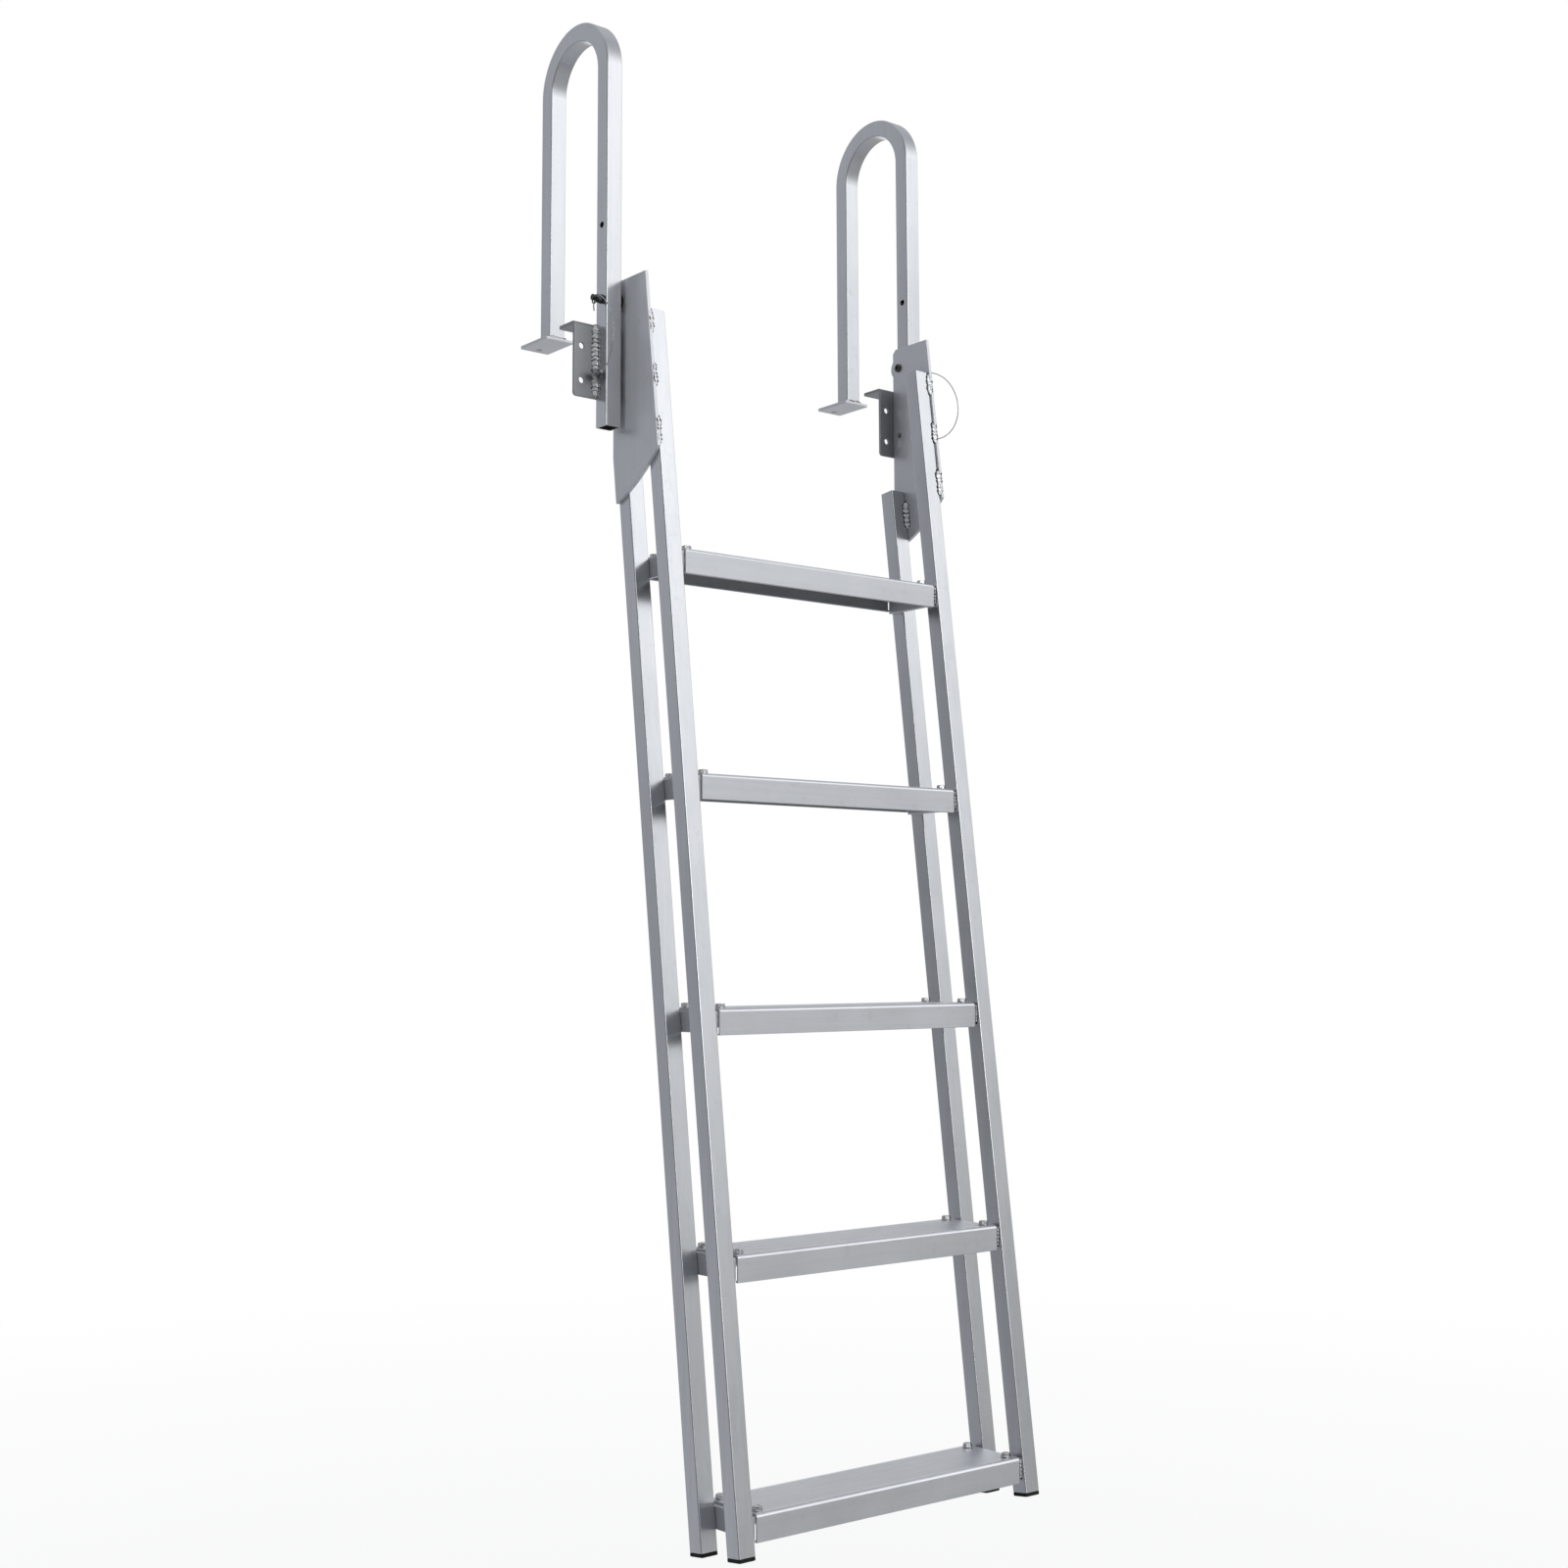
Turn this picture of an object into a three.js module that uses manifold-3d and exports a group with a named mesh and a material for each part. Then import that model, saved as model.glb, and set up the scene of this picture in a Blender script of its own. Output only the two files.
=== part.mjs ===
// Flip-up boat boarding ladder for the edge of a dock, as separate sub-parts.
//
// Units are millimetres and +Z is up. The origin is in the middle of the dock's top edge:
// X runs along the steps, +Y points over the dock, and -Y points over the water.
// Two handle loops stand on the dock. The ladder hangs between them on two pivot bolts.

import * as THREE from 'three';
import { mergeVertices } from 'three/addons/utils/BufferGeometryUtils.js';
import Module from 'manifold-3d';

const wasm = await Module();
wasm.setup();

// ---- Driving dimensions ----------------------------------------------------------------

const GAP = 0.3;                    // space kept between touching pieces
const TUBE = 25;                    // outside of every square tube
const TUBE_WALL = 2;
const LADDER_HALF_WIDTH = 256;      // middle to the outside of a rail
const PLATE_THICKNESS = 5;
const PIVOT_SPACER = 4;             // between side plate and handle tube

// Handle loops, in the plane of the dock's cross-section
const ANGLE_THICKNESS = 4.5;
const WATER_LEG_Y = -ANGLE_THICKNESS - GAP - TUBE / 2;
const DOCK_LEG_Y = 124.5;
const BEND_RADIUS = (DOCK_LEG_Y - WATER_LEG_Y) / 2;
const BEND_Y = (DOCK_LEG_Y + WATER_LEG_Y) / 2;
const BEND_Z = 369;
const WATER_LEG_BOTTOM = -141;

// Holes in the water leg: pivot, lock pin below it, and the stowing hole above it
const PIVOT_Z = 37;
const HOLE_PITCH = 105;
const PIN_Z = PIVOT_Z - HOLE_PITCH;
const STOW_Z = PIVOT_Z + HOLE_PITCH;
const SHANK_RADIUS = 4;
const SHANK_HOLE_RADIUS = SHANK_RADIUS + GAP;

// Foot plate under the dock leg, a little higher than the bracket's underside
const FOOT = { width: 46, front: 105, back: 173, lift: 9, thickness: 4.5, holeY: 160, holeRadius: 4.5 };

// Dock bracket: an angle welded behind the water leg
const ANGLE = { width: 95, bottom: -100, depth: 35, cornerRadius: 4, screwRadius: 4.5 };
const ANGLE_SCREW_OFFSET = 35;      // sideways from the water leg's centre
const ANGLE_SCREW_HEIGHTS = [-29, -77];

// Side plate between a handle loop and the rails
const PLATE = { top: 67.5, frontProud: 3, chamfer: 6, lugRadius: 17, frontBottom: -180, arcRadius: 245 };

// Rails, leaning out towards the water at the bottom
const LEAN = THREE.MathUtils.degToRad(6.9);
const RAIL_PITCH = 76;              // front face of the front rail to front face of the rear rail
const RAIL_FRONT_Y = -84.9;         // front face of the front rail, at deck height
const RAIL_FRONT_TOP = 15;
const RAIL_FRONT_LENGTH = 1600;
const RAIL_REAR_LENGTH = 1435;
const CAP = { flange: 4.5, plug: 14, clearance: 0.3 };

// Steps: level channels, open below
const STEP_COUNT = 5;
const STEP_SPACING = 304.8 * Math.cos(LEAN);
const STEP_TOP = -316.3;            // top of the highest step
const STEP = {
  halfLength: 224.2, depth: 102, height: 34, rearHeight: 28, skin: 3, flange: 2.5, lip: 5, cornerRadius: 5,
};

// Angle under each end of a step, and the bolts through both
const SEAT = { leg: 28, thickness: 4, length: 95 };
const BOLT = {
  x: 213, inset: 14, shankRadius: 3, acrossFlats: 11,
  washerRadius: 6.8, washer: 1.2, head: 4.2, nut: 5.5, tail: 3,
};

// Lock pin, pulled outwards; its neck holds the lanyard
const PIN = { collarRadius: 5.5, collar: 3.2, neckRadius: 2.5, neck: 4, knobRadius: 5.2, knob: 7.5 };

// Pivot bolt: round head inside, and a nut, a neck for the lanyard and an end collar outside
const PIVOT = {
  headRadius: 6.2, head: 3.3, washerRadius: 6.5, washer: 1.2, acrossFlats: 11, nut: 6.5,
  neck: 5, endRadius: 4.4, end: 2.5,
};
const LANYARD_RADIUS = 0.75;
const LANYARD_STEPS = 40;

// Route of the right lanyard, from the pivot bolt's end to the lock pin's neck
const LANYARD_ROUTE = [
  [301.5, -25, 36.8], [304, -31, 36], [307, -38, 34], [309.8, -45.5, 30.8], [311.8, -53.5, 26],
  [313.2, -62, 19], [314.2, -70, 10], [315, -77, -1], [315.6, -82, -13], [316, -84.5, -26],
  [316, -84, -39], [315.4, -80, -51], [314, -73, -61], [311.6, -63.5, -68], [308, -52.5, -71.5],
  [304, -41, -71.5], [300, -32, -70], [297, -26, -68.5],
];

// ---- Finishes --------------------------------------------------------------------------

const FINISHES = {
  tube: { color: 0xc3c6cc, metalness: 0.9, roughness: 0.35 },
  plate: { color: 0xb4b7bd, metalness: 0.9, roughness: 0.4 },
  step: { color: 0xbcbfc4, metalness: 0.9, roughness: 0.45 },
  plastic: { color: 0x151516, metalness: 0, roughness: 0.55 },
  steel: { color: 0x8d8f92, metalness: 1, roughness: 0.25 },
};

// ---- Solids ----------------------------------------------------------------------------

function toSolid(geometry) {
  const bare = geometry.clone();
  bare.deleteAttribute('normal');
  bare.deleteAttribute('uv');
  const merged = mergeVertices(bare, 1e-4);
  return new wasm.Manifold(new wasm.Mesh({
    numProp: 3,
    vertProperties: Float32Array.from(merged.attributes.position.array),
    triVerts: Uint32Array.from(merged.index.array),
  }));
}

function toGeometry(solid) {
  const mesh = solid.getMesh();
  const geometry = new THREE.BufferGeometry();
  geometry.setAttribute('position', new THREE.BufferAttribute(mesh.vertProperties, 3));
  geometry.setIndex(new THREE.BufferAttribute(mesh.triVerts, 1));
  return geometry;
}

function cut(geometry, tools) {
  const body = tools.reduce((solid, tool) => solid.subtract(toSolid(tool)), toSolid(geometry));
  return toGeometry(body);
}

function join(geometries) {
  return toGeometry(geometries.map(toSolid).reduce((whole, piece) => whole.add(piece)));
}

function extrude(shape, length, curveSegments = 6) {
  return new THREE.ExtrudeGeometry(shape, { depth: length, bevelEnabled: false, curveSegments });
}

// A shape drawn in (y, z) and extruded along +X from x = start
function alongX(shape, start, length, curveSegments) {
  const turned = new THREE.Matrix4().makeBasis(
    new THREE.Vector3(0, 1, 0), new THREE.Vector3(0, 0, 1), new THREE.Vector3(1, 0, 0));
  return extrude(shape, length, curveSegments).applyMatrix4(turned).translate(start, 0, 0);
}

function square(width, centreX, centreY) {
  const [x, y, half] = [centreX, centreY, width / 2];
  return new THREE.Shape([
    new THREE.Vector2(x - half, y - half), new THREE.Vector2(x + half, y - half),
    new THREE.Vector2(x + half, y + half), new THREE.Vector2(x - half, y + half),
  ]);
}

// Round bars and holes along each axis, between two ends
function barX(radius, from, to, y, z, sides = 14) {
  return new THREE.CylinderGeometry(radius, radius, to - from, sides)
    .rotateZ(-Math.PI / 2).translate((from + to) / 2, y, z);
}

function barY(radius, from, to, x, z, sides = 16) {
  return new THREE.CylinderGeometry(radius, radius, to - from, sides).translate(x, (from + to) / 2, z);
}

function barZ(radius, from, to, x, y, sides = 16) {
  return new THREE.CylinderGeometry(radius, radius, to - from, sides)
    .rotateX(Math.PI / 2).translate(x, y, (from + to) / 2);
}

const hexRadius = (acrossFlats) => acrossFlats / 2 / Math.cos(Math.PI / 6);

// Everything on the left is the mirror image of the right
function mirrored(geometry) {
  const flipped = geometry.index ? geometry.toNonIndexed() : geometry.clone();
  flipped.scale(-1, 1, 1);
  const { array } = flipped.attributes.position;
  for (let i = 0; i < array.length; i += 9) {
    for (let k = 0; k < 3; k += 1) {
      [array[i + 3 + k], array[i + 6 + k]] = [array[i + 6 + k], array[i + 3 + k]];
    }
  }
  flipped.deleteAttribute('normal');
  flipped.deleteAttribute('uv');
  return mergeVertices(flipped, 1e-4);
}

// ---- Handle loops ----------------------------------------------------------------------

const PLATE_OUTSIDE = LADDER_HALF_WIDTH + PLATE_THICKNESS;
const HANDLE_INSIDE = PLATE_OUTSIDE + PIVOT_SPACER;
const HANDLE_X = HANDLE_INSIDE + TUBE / 2;
const HANDLE_OUTSIDE = HANDLE_INSIDE + TUBE;

// Inverted U in (y, z), half a tube either side of its centre line
function loopShape(half, waterBottom, dockBottom) {
  const shape = new THREE.Shape();
  shape.moveTo(WATER_LEG_Y - half, waterBottom);
  shape.lineTo(WATER_LEG_Y - half, BEND_Z);
  shape.absarc(BEND_Y, BEND_Z, BEND_RADIUS + half, Math.PI, 0, true);
  shape.lineTo(DOCK_LEG_Y + half, dockBottom);
  shape.lineTo(DOCK_LEG_Y - half, dockBottom);
  shape.lineTo(DOCK_LEG_Y - half, BEND_Z);
  shape.absarc(BEND_Y, BEND_Z, BEND_RADIUS - half, 0, Math.PI, false);
  shape.lineTo(WATER_LEG_Y + half, waterBottom);
  shape.closePath();
  return shape;
}

function handleTube() {
  const bendSegments = 26;
  const dockBottom = FOOT.lift + FOOT.thickness + GAP;
  const bore = TUBE - 2 * TUBE_WALL;
  const outside = alongX(loopShape(TUBE / 2, WATER_LEG_BOTTOM, dockBottom),
    HANDLE_INSIDE, TUBE, bendSegments);
  const inside = alongX(loopShape(bore / 2, WATER_LEG_BOTTOM - 1, dockBottom - 1),
    HANDLE_INSIDE + TUBE_WALL, bore, bendSegments);
  const holes = [PIVOT_Z, PIN_Z, STOW_Z].map((z) =>
    barX(SHANK_HOLE_RADIUS, HANDLE_INSIDE - 1, HANDLE_OUTSIDE + 1, WATER_LEG_Y, z));
  return cut(outside, [inside, ...holes]);
}

function footPlate() {
  const plate = new THREE.BoxGeometry(FOOT.width, FOOT.back - FOOT.front, FOOT.thickness)
    .translate(HANDLE_X, (FOOT.front + FOOT.back) / 2, FOOT.lift + FOOT.thickness / 2);
  const [holeStart, holeEnd] = [FOOT.lift - 1, FOOT.lift + FOOT.thickness + 1];
  return cut(plate, [barZ(FOOT.holeRadius, holeStart, holeEnd, HANDLE_X, FOOT.holeY)]);
}

function dockBracket() {
  const shape = new THREE.Shape();
  const top = ANGLE_THICKNESS;
  shape.moveTo(0, 0);
  shape.lineTo(0, ANGLE.bottom);
  shape.lineTo(-ANGLE_THICKNESS, ANGLE.bottom);
  shape.lineTo(-ANGLE_THICKNESS, top - ANGLE.cornerRadius);
  shape.absarc(ANGLE.cornerRadius - ANGLE_THICKNESS, top - ANGLE.cornerRadius, ANGLE.cornerRadius,
    Math.PI, Math.PI / 2, true);
  shape.lineTo(ANGLE.depth, top);
  shape.lineTo(ANGLE.depth, 0);
  shape.closePath();
  const screwHoles = ANGLE_SCREW_HEIGHTS.flatMap((z) => [-1, 1].map((side) =>
    barY(ANGLE.screwRadius, -ANGLE_THICKNESS - 1, 1, HANDLE_X + side * ANGLE_SCREW_OFFSET, z)));
  return cut(alongX(shape, HANDLE_X - ANGLE.width / 2, ANGLE.width), screwHoles);
}

// ---- Hinge and lock --------------------------------------------------------------------

// Round head against the plate's inside, nut and grooved end on the outside of the tube
function pivotBolt() {
  const inside = PLATE_OUTSIDE - PLATE_THICKNESS - GAP;
  const outside = HANDLE_OUTSIDE + GAP;
  const nutEnd = outside + PIVOT.washer + PIVOT.nut;
  const neckEnd = nutEnd + PIVOT.neck;
  return join([
    barX(SHANK_RADIUS, inside - 1, neckEnd, WATER_LEG_Y, PIVOT_Z),
    barX(PIVOT.headRadius, inside - PIVOT.head, inside, WATER_LEG_Y, PIVOT_Z, 20),
    barX(PIVOT.washerRadius, outside, outside + PIVOT.washer, WATER_LEG_Y, PIVOT_Z, 20),
    barX(hexRadius(PIVOT.acrossFlats), outside + PIVOT.washer - 0.1, nutEnd, WATER_LEG_Y, PIVOT_Z, 6),
    barX(PIVOT.endRadius, neckEnd - 0.1, neckEnd + PIVOT.end, WATER_LEG_Y, PIVOT_Z),
  ]);
}

function pivotWasher() {
  const [from, to] = [PLATE_OUTSIDE + GAP, HANDLE_INSIDE - GAP];
  return cut(barX(12, from, to, WATER_LEG_Y, PIVOT_Z, 24),
    [barX(SHANK_HOLE_RADIUS, from - 1, to + 1, WATER_LEG_Y, PIVOT_Z)]);
}

// The tip stops just short of the side plate, so that the hinge can be turned by itself
function lockPin() {
  const face = HANDLE_OUTSIDE + GAP;
  const neckStart = face + PIN.collar;
  const knobStart = neckStart + PIN.neck;
  return join([
    barX(SHANK_RADIUS, PLATE_OUTSIDE + GAP, face + 0.1, WATER_LEG_Y, PIN_Z),
    barX(PIN.collarRadius, face, neckStart, WATER_LEG_Y, PIN_Z),
    barX(PIN.neckRadius, neckStart - 0.1, knobStart + 0.1, WATER_LEG_Y, PIN_Z),
    barX(PIN.knobRadius, knobStart, knobStart + PIN.knob, WATER_LEG_Y, PIN_Z),
  ]);
}

function lanyard() {
  const route = new THREE.CatmullRomCurve3(LANYARD_ROUTE.map((point) => new THREE.Vector3(...point)));
  const section = new THREE.Shape();
  section.absarc(0, 0, LANYARD_RADIUS, 0, 2 * Math.PI);
  return new THREE.ExtrudeGeometry(section, {
    extrudePath: route, steps: LANYARD_STEPS, curveSegments: 4, bevelEnabled: false,
  });
}

// ---- Side plates and rails -------------------------------------------------------------

const frontFaceY = (z) => RAIL_FRONT_Y + z * Math.tan(LEAN);
const rearFaceY = (z) => frontFaceY(z) + (RAIL_PITCH + TUBE) / Math.cos(LEAN);

// The rear edge rests on the dock bracket; the lower edge is an arc down to the rear rail
function sidePlate() {
  const rearY = -ANGLE_THICKNESS - GAP;
  const lugAngle = Math.acos((rearY - WATER_LEG_Y) / PLATE.lugRadius);
  const kneeZ = (rearY - rearFaceY(0)) / Math.tan(LEAN);
  const tipZ = -243;
  const tip = new THREE.Vector2(rearFaceY(tipZ), tipZ);
  const heel = new THREE.Vector2(frontFaceY(PLATE.frontBottom) - PLATE.frontProud, PLATE.frontBottom);
  const chord = tip.clone().sub(heel);
  const middle = heel.clone().add(tip).multiplyScalar(0.5);
  const rise = Math.sqrt(PLATE.arcRadius ** 2 - chord.lengthSq() / 4);
  const centre = middle.clone().add(new THREE.Vector2(-chord.y, chord.x).setLength(rise));
  const angleTo = (point) => point.clone().sub(centre).angle();

  const shape = new THREE.Shape();
  shape.moveTo(frontFaceY(PLATE.top) - PLATE.frontProud, PLATE.top);
  shape.lineTo(heel.x, heel.y);
  shape.absarc(centre.x, centre.y, PLATE.arcRadius, angleTo(heel), angleTo(tip), false);
  shape.lineTo(rearY, kneeZ);
  shape.absarc(WATER_LEG_Y, PIVOT_Z, PLATE.lugRadius, -lugAngle, lugAngle, false);
  shape.lineTo(rearY, PLATE.top - PLATE.chamfer);
  shape.lineTo(rearY - PLATE.chamfer, PLATE.top);
  shape.closePath();
  const holes = [PIVOT_Z, PIN_Z].map((z) =>
    barX(SHANK_HOLE_RADIUS, LADDER_HALF_WIDTH - 1, PLATE_OUTSIDE + 1, WATER_LEG_Y, z));
  return cut(alongX(shape, LADDER_HALF_WIDTH, PLATE_THICKNESS, 16), holes);
}

const RAIL_X = LADDER_HALF_WIDTH - GAP - TUBE / 2;
const RAIL_DEPTHS = { front: TUBE / 2, rear: RAIL_PITCH + TUBE / 2 };
const RAIL_LENGTHS = { front: RAIL_FRONT_LENGTH, rear: RAIL_REAR_LENGTH };

// Rails and caps stand in a leaning frame: y from the front face back, z up from the foot
function railFrame() {
  const frame = new THREE.Group();
  const footZ = RAIL_FRONT_TOP - RAIL_FRONT_LENGTH * Math.cos(LEAN);
  frame.position.set(0, frontFaceY(footZ), footZ);
  frame.rotation.x = -LEAN;
  return frame;
}

function rail(place) {
  const shape = square(TUBE, RAIL_X, RAIL_DEPTHS[place]);
  shape.holes.push(square(TUBE - 2 * TUBE_WALL, RAIL_X, RAIL_DEPTHS[place]));
  return extrude(shape, RAIL_LENGTHS[place]);
}

function endCap(place) {
  const plugWidth = TUBE - 2 * TUBE_WALL - 2 * CAP.clearance;
  const flange = extrude(square(TUBE, RAIL_X, RAIL_DEPTHS[place]), CAP.flange)
    .translate(0, 0, -CAP.flange - GAP);
  const plug = extrude(square(plugWidth, RAIL_X, RAIL_DEPTHS[place]), CAP.plug + 1).translate(0, 0, -GAP - 1);
  return join([flange, plug]);
}

// ---- Steps -----------------------------------------------------------------------------

const stepTop = (index) => STEP_TOP - index * STEP_SPACING;
const stepFront = (index) => frontFaceY(stepTop(index));

function boltYs(index) {
  return { front: stepFront(index) + BOLT.inset, rear: stepFront(index) + STEP.depth - BOLT.inset };
}

// Channel with round top corners and a lip along the bottom of each flange; the rear one is shorter
function stepShape(index) {
  const top = stepTop(index);
  const front = stepFront(index);
  const back = front + STEP.depth;
  const bottom = top - STEP.height;
  const rearBottom = top - STEP.rearHeight;
  const { skin, flange, lip, cornerRadius: radius } = STEP;
  const shape = new THREE.Shape();
  shape.moveTo(front, bottom);
  shape.lineTo(front + lip, bottom);
  shape.lineTo(front + lip, bottom + flange);
  shape.lineTo(front + flange, bottom + flange);
  shape.lineTo(front + flange, top - skin);
  shape.lineTo(back - flange, top - skin);
  shape.lineTo(back - flange, rearBottom + flange);
  shape.lineTo(back - lip, rearBottom + flange);
  shape.lineTo(back - lip, rearBottom);
  shape.lineTo(back, rearBottom);
  shape.lineTo(back, top - radius);
  shape.absarc(back - radius, top - radius, radius, 0, Math.PI / 2, false);
  shape.lineTo(front + radius, top);
  shape.absarc(front + radius, top - radius, radius, Math.PI / 2, Math.PI, false);
  shape.closePath();
  return shape;
}

function boltHole(x, y, top) {
  const reach = STEP.height;
  return barZ(BOLT.shankRadius + GAP, top - reach, top + 1, x, y, 12);
}

function step(index) {
  const holes = Object.values(boltYs(index)).flatMap((y) =>
    [-BOLT.x, BOLT.x].map((x) => boltHole(x, y, stepTop(index))));
  return cut(alongX(stepShape(index), -STEP.halfLength, 2 * STEP.halfLength, 4), holes);
}

// Angle on the rails' inside, with one leg under the tread
function stepBracket(index) {
  const top = stepTop(index) - STEP.skin - GAP;
  const outside = LADDER_HALF_WIDTH - TUBE - 2 * GAP;
  const middleY = stepFront(index) + STEP.depth / 2;
  const [front, back] = [middleY - SEAT.length / 2, middleY + SEAT.length / 2];
  const wall = new THREE.BoxGeometry(SEAT.thickness, SEAT.length, SEAT.leg)
    .translate(outside - SEAT.thickness / 2, (front + back) / 2, top - SEAT.leg / 2);
  const shelf = new THREE.BoxGeometry(SEAT.leg, SEAT.length, SEAT.thickness)
    .translate(outside - SEAT.leg / 2, (front + back) / 2, top - SEAT.thickness / 2);
  const holes = Object.values(boltYs(index)).map((y) => boltHole(BOLT.x, y, stepTop(index)));
  return cut(join([wall, shelf]), holes);
}

// Hexagon bolt with washer and nut
function stepBolt(index, place) {
  const y = boltYs(index)[place];
  const top = stepTop(index) + GAP;
  const nutTop = stepTop(index) - STEP.skin - SEAT.thickness - 2 * GAP;
  const hex = hexRadius(BOLT.acrossFlats);
  return join([
    barZ(BOLT.washerRadius, top, top + BOLT.washer, BOLT.x, y, 12),
    barZ(hex, top + BOLT.washer - 0.1, top + BOLT.washer + BOLT.head, BOLT.x, y, 6),
    barZ(BOLT.shankRadius, nutTop - BOLT.nut - BOLT.tail, top + 1, BOLT.x, y, 12),
    barZ(hex, nutTop - BOLT.nut, nutTop, BOLT.x, y, 6),
  ]);
}

// ---- Assembly --------------------------------------------------------------------------

const ladder = new THREE.Group();
const rails = railFrame();
ladder.add(rails);

function addMesh(parent, name, geometry, finish) {
  const mesh = new THREE.Mesh(geometry, new THREE.MeshStandardMaterial(FINISHES[finish]));
  mesh.name = name;
  parent.add(mesh);
}

function addPair(parent, name, geometry, finish) {
  addMesh(parent, `${name}_left`, mirrored(geometry), finish);
  addMesh(parent, `${name}_right`, geometry, finish);
}

addPair(ladder, 'handle_tube', handleTube(), 'tube');
addPair(ladder, 'foot_plate', footPlate(), 'plate');
addPair(ladder, 'dock_bracket', dockBracket(), 'plate');
addPair(ladder, 'side_plate', sidePlate(), 'plate');
addPair(ladder, 'pivot_bolt', pivotBolt(), 'steel');
addPair(ladder, 'pivot_washer', pivotWasher(), 'plastic');
addPair(ladder, 'lock_pin', lockPin(), 'steel');
addPair(ladder, 'lanyard', lanyard(), 'steel');

for (const place of ['front', 'rear']) {
  addPair(rails, `rail_${place}`, rail(place), 'tube');
  addPair(rails, `end_cap_${place}`, endCap(place), 'plastic');
}

for (let index = 0; index < STEP_COUNT; index += 1) {
  const number = index + 1;
  addMesh(ladder, `step_${number}`, step(index), 'step');
  addPair(ladder, `step_bracket_${number}`, stepBracket(index), 'plate');
  addPair(ladder, `step_bolt_${number}_front`, stepBolt(index, 'front'), 'steel');
  addPair(ladder, `step_bolt_${number}_rear`, stepBolt(index, 'rear'), 'steel');
}

export default ladder;
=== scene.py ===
"""Looks of the flip-up boat boarding ladder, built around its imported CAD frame.

Shapes are worked out in millimetres and written to the meshes in metres. X runs along the
steps, +Y points over the dock, -Y over the water, and +Z is up. Every pair is drawn for the
right side, and the left side is its mirror image.
"""

from math import acos, atan2, ceil, cos, pi, radians, sin, sqrt, tan

import bmesh
import bpy
from mathutils import Matrix, Vector
from mathutils.noise import noise


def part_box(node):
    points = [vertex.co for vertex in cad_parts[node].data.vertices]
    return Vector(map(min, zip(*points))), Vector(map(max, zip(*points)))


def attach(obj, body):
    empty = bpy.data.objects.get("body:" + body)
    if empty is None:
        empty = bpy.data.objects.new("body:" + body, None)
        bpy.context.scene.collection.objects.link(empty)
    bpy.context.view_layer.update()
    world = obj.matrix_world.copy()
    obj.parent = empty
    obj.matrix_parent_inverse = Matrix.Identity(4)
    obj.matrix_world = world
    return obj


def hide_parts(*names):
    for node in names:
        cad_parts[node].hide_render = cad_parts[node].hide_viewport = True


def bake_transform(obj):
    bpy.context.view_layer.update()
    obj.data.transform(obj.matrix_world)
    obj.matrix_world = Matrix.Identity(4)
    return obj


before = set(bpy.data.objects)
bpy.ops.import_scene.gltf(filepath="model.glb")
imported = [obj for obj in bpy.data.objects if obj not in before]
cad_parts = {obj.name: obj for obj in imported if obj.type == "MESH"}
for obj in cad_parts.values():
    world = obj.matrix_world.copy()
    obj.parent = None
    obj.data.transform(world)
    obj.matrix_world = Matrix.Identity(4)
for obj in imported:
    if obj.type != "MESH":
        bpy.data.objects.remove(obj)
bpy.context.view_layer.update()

MM = 0.001
SIDES = {"left": -1, "right": 1}


def box_mm(node):
    low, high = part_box(node)
    return low / MM, high / MM


# ---- Driving dimensions, in millimetres ----------------------------------------------------

GAP = 0.3
TUBE = 25.0
WALL = 2.0
CORNER = 1.5                     # outside corner radius of the square tubes
LEAN = radians(6.9)              # of the rails, out towards the water at the bottom
SHANK_HOLE = 4.3                 # radii of the holes for the pivot bolts and lock pins
SCREW_HOLE = 4.5                 # and of those for the dock's screws and bolts
HEXAGON = 11.0                   # across the flats of nuts and bolt heads

handle_low, handle_high = box_mm("handle_tube_right")
foot_low, foot_high = box_mm("foot_plate_right")
HANDLE_IN, HANDLE_OUT = handle_low.x, handle_high.x
HANDLE_X = (HANDLE_IN + HANDLE_OUT) / 2
WATER_LEG_Y = handle_low.y + TUBE / 2
DOCK_LEG_Y = handle_high.y - TUBE / 2
BEND_RADIUS = (DOCK_LEG_Y - WATER_LEG_Y) / 2
BEND_Y = (DOCK_LEG_Y + WATER_LEG_Y) / 2
BEND_Z = handle_high.z - BEND_RADIUS - TUBE / 2

bolt_low, bolt_high = box_mm("pivot_bolt_right")
pin_low, pin_high = box_mm("lock_pin_right")
PIVOT_Z = (bolt_low.z + bolt_high.z) / 2
PIN_Z = (pin_low.z + pin_high.z) / 2
STOW_Z = 2 * PIVOT_Z - PIN_Z

plate_low, plate_high = box_mm("side_plate_right")
PLATE_IN, PLATE_OUT = plate_low.x, plate_high.x
PLATE_TOP = plate_high.z
PLATE_PROUD, PLATE_CHAMFER, LUG_RADIUS = 3.0, 6.0, 17.0
HEEL_Z, TIP_Z, BELLY_RADIUS = -180.0, plate_low.z, 245.0

RAIL_X = PLATE_IN - GAP - TUBE / 2
RAIL_FRONT_Y = -84.9             # front face of the front rails, at deck height
RAIL_PITCH = 76.0                # front face of a front rail to front face of a rear rail
RAIL_TOP = 15.0
RAIL_LENGTHS = {"front": 1600.0, "rear": 1435.0}
RAIL_DEPTHS = {"front": TUBE / 2, "rear": RAIL_PITCH + TUBE / 2}
RAIL_FOOT_Z = RAIL_TOP - RAIL_LENGTHS["front"] * cos(LEAN)

ANGLE_THICKNESS = 4.5
STEP_NUMBERS = range(1, 6)


def front_face_y(z):
    """Front face of the front rails at a height."""
    return RAIL_FRONT_Y + z * tan(LEAN)


def rear_rail_face_y(z):
    """Front face of the rear rails at a height."""
    return front_face_y(z) + RAIL_PITCH / cos(LEAN)


# ---- Camera ----------------------------------------------------------------------------------

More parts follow.
